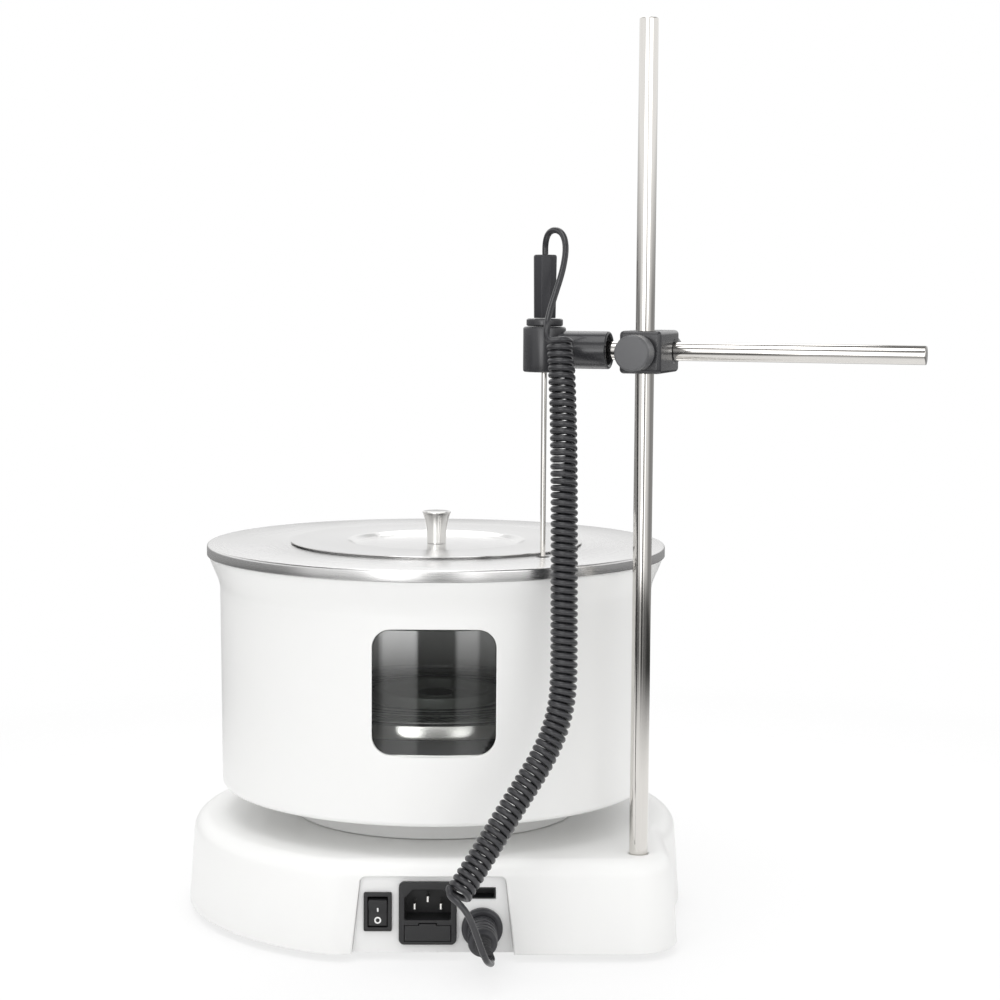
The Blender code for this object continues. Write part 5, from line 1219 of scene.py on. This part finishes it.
def shellMesh():
    outer = shellOuter()
    inner = outer - (bath["wall"], 0.0)
    bottom, wall, hole, footRadius = [bath[size] for size in ("bottom", "wall", "floorHole", "foot")]
    floor = bottom + wall
    low = roundCorners([outer[0] - (0.0, 0.05), (footRadius, bottom), (hole, bottom)], bath["edge"], 8)
    corner = roundCorners([(hole, floor), (footRadius - wall, floor), inner[0]], 0.0015, 4)
    lipTop = [(bath["rim"] - 0.0003, bath["top"]), (bath["rim"] - wall + 0.0003, bath["top"])]
    profile = [*outer[:-1][::-1], *low[1:], *corner[:-1], *inner[:-1], lipTop[1], lipTop[0]]
    return carve(turned("bathShell", profile, 288, True), [windowCutter()], sharp=30.0)


def paneMesh():
    heights = np.array((bath["windowZ"] + 0.04, bath["windowZ"] - 0.04))
    face = np.column_stack([wallRadius(heights) - bath["recess"], heights])
    band = turned("rearWindow", [*face, *(face[::-1] - (bath["pane"], 0.0))], 288, True)
    outline = windowOutline(-gap)
    rings = [np.column_stack([outline[:, 0], np.full(len(outline), y), outline[:, 1]]) for y in (0.07, 0.14)]
    return carve(band, [loft("paneOutline", rings)], "INTERSECT")


addPiece("bathShell", shellMesh(), finish["white"], "base", "white_plastic", "bath_shell")
addPiece("rearWindow", paneMesh(), finish["pane"], "base", "glass", "rear_window")
potIn = bath["pot"] - bath["potWall"]
potProfile = roundCorners([(0.0, bath["potFloor"]), (potIn, bath["potFloor"]), (potIn, bath["potRim"]),
                           (bath["pot"], bath["potRim"]), (bath["pot"], bath["potLow"]),
                           (0.0, bath["potLow"])], [0, 0.005, 0.0012, 0.0012, 0.007, 0], 6)
addPiece("glassPot", turned("glassPot", potProfile, 192), finish["pot"], "base", "glass", "glass_pot")
sealOut = float(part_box("rim_seal")[1][0]) - stirAxis[0]
seal = hoop("rimSeal", bath["pot"] + gap, sealOut, bath["sealLow"], bath["sealTop"], 0.0008, 4, 160)
addPiece("rimSeal", seal, finish["silicone"], "base", "silicone", "rim_seal")
print("bath made")

# Cover ring: a pressed sheet with a rounded rim, an inner lip and a hole for the probe
cover = {"radius": 0.1323, "low": 0.2038, "top": 0.2100, "sheet": 0.0011, "mouth": 0.079, "lip": 0.004,
         "round": 0.0013, "hole": 0.004, "lidRadius": 0.0842, "lidLow": 0.2103, "lidTop": 0.2115,
         "lidSheet": 0.0005, "spigot": 0.0782, "spigotWall": 0.0008, "spigotDrop": 0.003, "dish": 0.051,
         "dishFlat": 0.047, "dishTop": 0.2093, "knobFoot": 0.0055, "knobTop": 0.0084, "knobLow": 0.2096,
         "knobHeight": 0.0185, "knobFlare": 2.2}


def coverMesh():
    radius, sheet, mouth, top, low = [cover[size] for size in ("radius", "sheet", "mouth", "top", "low")]
    lip = top - cover["lip"]
    profile = roundCorners([(mouth, top), (radius, top), (radius, low), (radius - sheet, low),
                            (radius - sheet, top - sheet), (mouth + sheet, top - sheet), (mouth + sheet, lip),
                            (mouth, lip)],
                           [0.0006, cover["round"], 0.0003, 0.0003, 0.0004, 0.0003, 0.0002, 0.0002], 6, True)
    hole = drill(cover["hole"], 0.19, 0.22, Matrix.Translation((*probeSpot.translation.xy, 0.0)), 40)
    return carve(turned("coverRing", profile, 256, True), [hole])


# Lid: a thin sheet, raised at its rim so that a dark gap shows under it, with a spigot and a shallow dish
def lidMesh():
    radius, top, spigot, dish, flat, floor = [
        cover[size] for size in ("lidRadius", "lidTop", "spigot", "dish", "dishFlat", "dishTop")]
    under, floorUnder = top - cover["lidSheet"], floor - cover["lidSheet"]
    spigotIn, spigotLow = spigot - cover["spigotWall"], cover["lidLow"] - cover["spigotDrop"]
    upper = roundCorners([(0.0, floor), (flat, floor), (dish, top), (radius - 0.006, top), (radius, top)],
                         [0, 0.004, 0.004, 0, 0], 8)
    lower = roundCorners([(radius, under), (spigot, under), (spigot, spigotLow), (spigotIn, spigotLow),
                          (spigotIn, under), (dish, under), (flat, floorUnder), (0.0, floorUnder)],
                         [0.0002, 0.0003, 0.0002, 0.0002, 0.0003, 0.004, 0.004, 0], 6)
    return turned("lid", [*upper, *lower], 256)


# Lid knob: its radius grows with the height's share to a power, up to a rounded top
def lidKnobMesh():
    narrow, wide, low = cover["knobFoot"], cover["knobTop"], cover["knobLow"]
    top = low + cover["knobHeight"]
    share = np.linspace(0.0, 1.0, 26)
    flare = np.column_stack([narrow + (wide - narrow) * share ** cover["knobFlare"],
                             low + cover["knobHeight"] * share])
    stem = flare[flare[:, 1] < top - 0.0011]
    head = roundCorners([stem[-1], (wide, top - 0.0004), (wide - 0.0010, top), (0.0, top)], 0.0006, 4)
    return turned("lidKnob", [(0.0, low), *stem[:-1], *head], 72, sharp=26.0)


addPiece("coverRing", coverMesh(), finish["cover"], "ring", "steel", "cover_ring")
addPiece("lid", lidMesh(), finish["lid"], "cover", "steel", "lid")
addPiece("lidKnob", lidKnobMesh(), finish["bright"], "cover", "steel", "lid_knob")
print("cover made")

# Heater seen through the window: insulation, housing, polished band and a plate with turned rings
heater = {"insulation": 0.095, "insulationHole": 0.048, "insulationLow": 0.0738, "insulationHigh": 0.0838,
          "radius": 0.094, "wall": 0.0015, "low": 0.0841, "high": 0.1121, "shelf": 0.0065, "shelfLow": 0.1062,
          "shelfHigh": 0.1082, "band": 0.095, "bandWidth": 0.0038, "bandLow": 0.1124, "bandHigh": 0.1202,
          "taper": 0.0007, "plateLow": 0.1085, "plateTop": 0.1167, "plateRim": 0.0909, "seat": 0.036,
          "seatIn": 0.030, "seatTop": 0.1227, "hub": 0.0095, "hubTop": 0.1207, "step": 0.0006,
          "stepRadii": (0.046, 0.064), "rib": 0.0010, "ribWidth": 0.0020, "ribStart": 0.0415,
          "ribEnd": 0.0869, "ribSpacing": 0.0092}


# Housing: a tube with a shelf inside for the heating element
def heaterHousingMesh():
    radius, low, high, shelfLow, shelfHigh = [
        heater[size] for size in ("radius", "low", "high", "shelfLow", "shelfHigh")]
    inner = radius - heater["wall"]
    mouth = inner - heater["shelf"]
    profile = roundCorners([(inner, high), (radius, high), (radius, low), (inner, low), (inner, shelfLow),
                            (mouth, shelfLow), (mouth, shelfHigh), (inner, shelfHigh)], 0.0003, 3, True)
    return turned("heaterHousing", profile, 160, True)


def heaterBandMesh():
    outer, low, high = heater["band"], heater["bandLow"], heater["bandHigh"]
    inner = outer - heater["bandWidth"]
    profile = roundCorners([(inner, high), (outer - heater["taper"], high), (outer, low), (inner, low)],
                           0.0006, 4, True)
    return turned("heaterBand", profile, 192, True)


# Height of the plate, which falls by a step at each of two radii
def plateLevel(radius):
    return heater["plateTop"] - heater["step"] * sum(radius > edge for edge in heater["stepRadii"])


# Plate: hub, seat ring for the vessel and the low steps round it
def heaterPlateMesh():
    top = heater["plateTop"]
    lines = [(radius, plateLevel(radius)) for edge in heater["stepRadii"] for radius in (edge, edge + 0.0001)]
    seatIn, seatOut, seatTop = heater["seatIn"], heater["seat"], heater["seatTop"]
    seatEdge = [(seatIn, top), (seatIn, seatTop), (seatOut, seatTop), (seatOut, top)]
    hubLevel = heater["hubTop"] - 0.0006
    profile = [(0.0, hubLevel), (heater["hub"], hubLevel), (heater["hub"], top),
               *roundCorners(seatEdge, [0, 0.0006, 0.0006, 0], 4), *lines,
               (heater["plateRim"], plateLevel(heater["plateRim"])), (heater["plateRim"], heater["plateLow"]),
               (0.0, heater["plateLow"])]
    return turned("heaterPlate", profile, 192, sharp=24.0)


# Ribs: low dark rings on the plate, evenly spaced from the seat ring to the rim
def heaterRibsMesh():
    ribs = []
    for start in np.arange(heater["ribStart"], heater["ribEnd"], heater["ribSpacing"]):
        level = plateLevel(start)
        ribs.append(hoop("heaterRib", start, start + heater["ribWidth"], level - 0.0002,
                         level + heater["rib"], [0.0004, 0.0004, 0, 0], 3, 160))
    return joinMeshes("heaterRibs", ribs)


insulation = hoop("insulationDisc", heater["insulationHole"], heater["insulation"], heater["insulationLow"],
                  heater["insulationHigh"], 0.0010, 3, 128)
addPiece("insulationDisc", insulation, finish["insulation"], "base", "insulation", "insulation_disc")
addPiece("heaterHousing", heaterHousingMesh(), finish["case"], "base", "dark_metal", "heater_housing")
addPiece("heaterBand", heaterBandMesh(), finish["band"], "base", "steel", "heater_band")
addPiece("heaterPlate", heaterPlateMesh(), finish["hotplate"], "base", "dark_metal", "heater_plate")
addPiece("heaterRibs", heaterRibsMesh(), finish["case"], "base", "dark_metal")
hub = roundBar("heaterHub", heater["hub"] + 0.0004, heater["hubTop"] - 0.0010, heater["hubTop"], 0.0002,
               0.0003, 64, steps=3)
addPiece("heaterHub", hub, finish["black"], "base", "dark_metal")
print("heater made")

# Front: a panel with a dark display, two dials with pointers and rings of tick marks
front = {"middle": base["frontMiddle"], "displayWidth": 0.042, "displayHeight": 0.020, "displayDepth": 0.003,
         "dialSpread": 0.036, "dialRadius": 0.011, "dialTop": 0.0098, "dialHeight": 0.014, "shaft": 0.003,
         "ribs": 40, "ribDepth": 0.00035, "tickCircle": 0.0128, "tickLength": 0.0012, "digitHeight": 0.0066,
         "digitWidth": 0.0036, "digitSpacing": 0.0062, "rowRise": 0.0047, "stroke": 0.0007}


def frontPanelMesh():
    levels = edgeLevels(-base["panel"], 0.0, 0.0001, 0.0003, 3)
    panel = plate("frontPanel", lambda inset: frontOutline(-gap - inset), levels, onFront(0.0, 0.0))
    w, h = front["displayWidth"] / 2 + gap, front["displayHeight"] / 2 + gap
    holes = [boxMesh("hole", (-w, -h, -0.006), (w, h, 0.004), onFront(0.0, front["middle"]))]
    for x in (front["dialSpread"], -front["dialSpread"]):
        holes.append(drill(front["shaft"] + gap, -0.006, 0.004, onFront(x, front["middle"]), 32))
    return carve(panel, holes)


def displayMesh():
    levels = edgeLevels(-front["displayDepth"], 0.0, 0.0001, 0.0004, 3)
    return tile("displayWindow", (front["displayWidth"], front["displayHeight"]), 0.0012, levels,
                onFront(0.0, front["middle"]))


# Bars of a seven-bar figure that are on
def digitBars(x, z, bars):
    w, h, s = front["digitWidth"], front["digitHeight"], front["stroke"]
    places = [(0, h / 2, True), (w / 2, h / 4, False), (w / 2, -h / 4, False), (0, -h / 2, True),
              (-w / 2, -h / 4, False), (-w / 2, h / 4, False), (0, 0, True)]
    levels = edgeLevels(-0.0003, 0.00008, 0.00002, 0.00003, 1)
    meshes = []
    for (dx, dz, flat), lit in zip(places, bars):
        size = (w - 1.3 * s, s) if flat else (s, h / 2 - 1.3 * s)
        if lit:
            meshes.append(tile("bar", size, 0.00025, levels, onFront(0.0, front["middle"]), 3,
                               (-x - dx, z + dz)))
    return meshes


def tickMesh():
    marks = []
    for x in (front["dialSpread"], -front["dialSpread"]):
        for i in range(11):
            turn = math.radians(225 - 27 * i)
            long = front["tickLength"] * (1.5 if i in (0, 5, 10) else 1.0)
            spot = onFront(x, front["middle"]) @ Matrix.Rotation(turn, 4, "Z") @ Matrix.Translation(
                (front["tickCircle"] + long / 2, 0.0, 0.0))
            marks.append(tile("tick", (long, 0.0004), 0.0001,
                              edgeLevels(-0.0002, 0.00005, 0.00001, 0.00002, 1), spot, 2))
    return joinMeshes("dialTicks", marks)


# Dial: a tapered knob whose side is ribbed by a cosine round its axis, with a rounded top
def dialMesh(x):
    reach = frontFace - float(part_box("speed_knob")[1][1]) + stirAxis[1]
    angle = np.linspace(0.0, 2 * math.pi, front["ribs"] * 6, endpoint=False)
    skirt, top, height = front["dialRadius"], front["dialTop"], front["dialHeight"]
    side = roundCorners([(skirt, gap), (skirt, 0.0026), (top + 0.0002, 0.0034), (top, height), (0.0, height)],
                        [0, 0.0004, 0.0004, 0.0009, 0], 4)
    profile = np.array([(0.0, reach), (front["shaft"], reach), (front["shaft"], gap), *side])
    out, up = profile[:, :1], profile[:, 1:]
    ribbed = (up > 0.0036) & (up < height - 0.0006) & (out > 0.008)
    cut = 0.5 - 0.5 * np.cos(front["ribs"] * angle)
    radius = out - front["ribDepth"] * cut[None] * ribbed
    points = np.empty((len(profile), len(angle), 3))
    points[..., 0], points[..., 1] = radius * np.cos(angle), radius * np.sin(angle)
    points[..., 2] = up
    return makeMesh("dial", placed(points, onFront(x, front["middle"])), gridFaces(len(profile), len(angle)))


def pointerMesh(x):
    spot = onFront(x, front["middle"], front["dialHeight"]) @ Matrix.Translation((0.0, 0.0058, 0.0))
    levels = edgeLevels(-0.0004, 0.00006, 0.00002, 0.00004, 2)
    return tile("pointer", (0.0010, 0.0056), 0.0004, levels, spot, 4)


addPiece("frontPanel", frontPanelMesh(), finish["panel"], "base", "panel_plastic", "front_panel")
addPiece("displayWindow", displayMesh(), finish["display"], "base", "display", "display_window")
figure = {0: (1, 1, 1, 1, 1, 1, 0), 2: (1, 1, 0, 1, 1, 0, 1), 5: (1, 0, 1, 1, 0, 1, 1)}
bars = []
for row, digits in ((front["rowRise"], (0, 2, 5)), (-front["rowRise"], (0, 0, 0))):
    for column, digit in enumerate(digits):
        bars += digitBars(front["digitSpacing"] * (column - 1), row, figure[digit])
addPiece("displayFigures", joinMeshes("displayFigures", bars), finish["segment"], "base", "display")
addPiece("dialTicks", tickMesh(), finish["tick"], "base", "black_plastic")
for label, x in (("temperature", front["dialSpread"]), ("speed", -front["dialSpread"])):
    addPiece(label + "Knob", dialMesh(x), finish["black"], label + "_dial", "black_plastic", label + "_knob")
    addPiece(label + "Pointer", pointerMesh(x), finish["mark"], label + "_dial", "white_plastic")
print("front made")

# CAD solids that stay: inside the base and under the plate
kept = {"base_plate": "zinc", "rod_socket": "zinc", "control_board": "board", "heating_element": "hotplate",
        "stirrer_motor": "zinc", "motor_shaft": "bright", "magnet_carrier": "zinc", "magnet_left": "magnet",
        "magnet_right": "magnet"}
kept.update({name: "zinc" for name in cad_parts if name.startswith("base_screw")})
for name, look in kept.items():
    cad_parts[name].data.materials.clear()
    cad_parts[name].data.materials.append(finish[look])

# Studio: a white world for the camera, soft light, and bright and dark screens for the steel to mirror
studio = {
    "diffuse": 0.83,
    "screens": ((-180, 0.34), (-130, 0.34), (-75, 0.28), (-64, 0.85), (-29, 0.85), (-27, 3.2), (-10, 3.2),
                (-9, 0.36), (10, 0.36), (12, 2.0), (21, 2.0), (24, 0.85), (45, 0.85), (60, 0.55), (80, 0.28),
                (130, 0.34), (180, 0.34)),
    "low": (-0.192, -0.168, 0.14),
    "rise": (0.04, 0.16),
    "above": (0.42, 0.66, 1.05, 0.22),
    "lamps": (((0.50, 1.30, 0.62), 0.9, 2.2), ((-0.62, 1.15, 0.80), 0.9, 2.0), ((0.25, 0.42, 1.50), 1.0, 6.0),
              ((0.10, -0.90, 1.40), 1.0, 5.0)),
    "paper": 0.86,
    "floorGlow": 0.72,
    "floorFade": (0.34, 0.75),
    "floorRadius": 2.5,
    "floorLevel": -0.0002,
}


# World by ray: white for the camera, an even grey for diffuse light, and the screens for what is mirrored
def worldScreens():
    world = bpy.data.worlds.new("studio")
    bpy.context.scene.world = world
    world.use_nodes = True
    tree = world.node_tree
    back = tree.nodes["Background"]
    parts = tree.nodes.new("ShaderNodeSeparateXYZ")
    tree.links.new(tree.nodes.new("ShaderNodeTexCoord").outputs["Generated"], parts.inputs["Vector"])
    across, away, up = parts.outputs
    turn = mathNode(tree, "ARCTAN2", mathNode(tree, "MULTIPLY", across, -1.0), away)
    ramp = tree.nodes.new("ShaderNodeValToRGB")
    share = mathNode(tree, "ADD", mathNode(tree, "DIVIDE", turn, 2 * math.pi), 0.5)
    tree.links.new(share, ramp.inputs["Fac"])
    stops = ramp.color_ramp.elements
    while len(stops) < len(studio["screens"]):
        stops.new(0.5)
    for stop, (angle, level) in zip(stops, studio["screens"]):
        stop.position = angle / 360.0 + 0.5
        stop.color = grey(level)
    sides = mixNode(tree, 1.0, ramp.outputs["Color"], rangeNode(tree, up, *studio["low"]), "MULTIPLY")
    zenith = rangeNode(tree, up, *studio["above"])
    mirrored = mixNode(tree, rangeNode(tree, up, *studio["rise"]), sides, zenith)
    path = tree.nodes.new("ShaderNodeLightPath")
    soft = mixNode(tree, path.outputs["Is Diffuse Ray"], mirrored, grey(studio["diffuse"]))
    direct = mathNode(tree, "SUBTRACT", 1.0, path.outputs["Glossy Depth"], True)
    through = mathNode(tree, "MULTIPLY", path.outputs["Is Transmission Ray"], direct)
    seen = mathNode(tree, "MAXIMUM", path.outputs["Is Camera Ray"], through)
    tree.links.new(mixNode(tree, seen, soft, grey(1.0)), back.inputs["Color"])
    tree.links.new(back.outputs["Background"], tree.nodes["World Output"].inputs["Surface"])


# Floor: pale and matt under the object, whiter for the camera, clear where the white world takes over
def addFloor():
    angle = np.linspace(0.0, 2 * math.pi, 96, endpoint=False)
    radii = np.array((0.0, 0.2, 0.5, 1.0, studio["floorRadius"]))
    points = np.empty((len(radii), len(angle), 3))
    points[..., 0], points[..., 1] = radii[:, None] * np.cos(angle), radii[:, None] * np.sin(angle)
    points[..., 2] = studio["floorLevel"]
    mesh = makeMesh("floor", points, gridFaces(len(radii), len(angle)))
    floor = bpy.data.objects.new("floor", mesh)
    bpy.context.scene.collection.objects.link(floor)
    material = bpy.data.materials.new("floorPaper")
    material.use_nodes = True
    tree = material.node_tree
    tree.nodes.remove(tree.nodes["Principled BSDF"])
    paper = tree.nodes.new("ShaderNodeBsdfDiffuse")
    paper.inputs["Color"].default_value = grey(studio["paper"])
    glow = tree.nodes.new("ShaderNodeEmission")
    glow.inputs["Color"].default_value = grey(1.0)
    clear = tree.nodes.new("ShaderNodeBsdfTransparent")
    path = tree.nodes.new("ShaderNodeLightPath")
    white = tree.nodes.new("ShaderNodeMixShader")
    seen = mathNode(tree, "MAXIMUM", path.outputs["Is Camera Ray"], path.outputs["Is Glossy Ray"])
    tree.links.new(mathNode(tree, "MULTIPLY", seen, studio["floorGlow"]), white.inputs["Fac"])
    tree.links.new(paper.outputs["BSDF"], white.inputs[1])
    tree.links.new(glow.outputs["Emission"], white.inputs[2])
    spot = tree.nodes.new("ShaderNodeTexCoord").outputs["Object"]
    length = tree.nodes.new("ShaderNodeVectorMath")
    length.operation = "LENGTH"
    tree.links.new(spot, length.inputs[0])
    fade = rangeNode(tree, length.outputs["Value"], *studio["floorFade"], smooth=True)
    mix = tree.nodes.new("ShaderNodeMixShader")
    tree.links.new(fade, mix.inputs["Fac"])
    tree.links.new(white.outputs["Shader"], mix.inputs[1])
    tree.links.new(clear.outputs["BSDF"], mix.inputs[2])
    tree.links.new(mix.outputs["Shader"], tree.nodes["Material Output"].inputs["Surface"])
    mesh.materials.append(material)


def addLamp(name, place, size, power, target=(0.0, 0.0, 0.18)):
    data = bpy.data.lights.new(name, "AREA")
    data.shape = "DISK"
    data.size = size
    data.energy = power
    lamp = bpy.data.objects.new(name, data)
    bpy.context.scene.collection.objects.link(lamp)
    lamp.location = place
    lamp.rotation_mode = "QUATERNION"
    lamp.rotation_quaternion = (Vector(target) - Vector(place)).to_track_quat("-Z", "Y")


worldScreens()
addFloor()
for i, (place, size, power) in enumerate(studio["lamps"]):
    addLamp("softLamp" + str(i), place, size, power)
print("studio made")
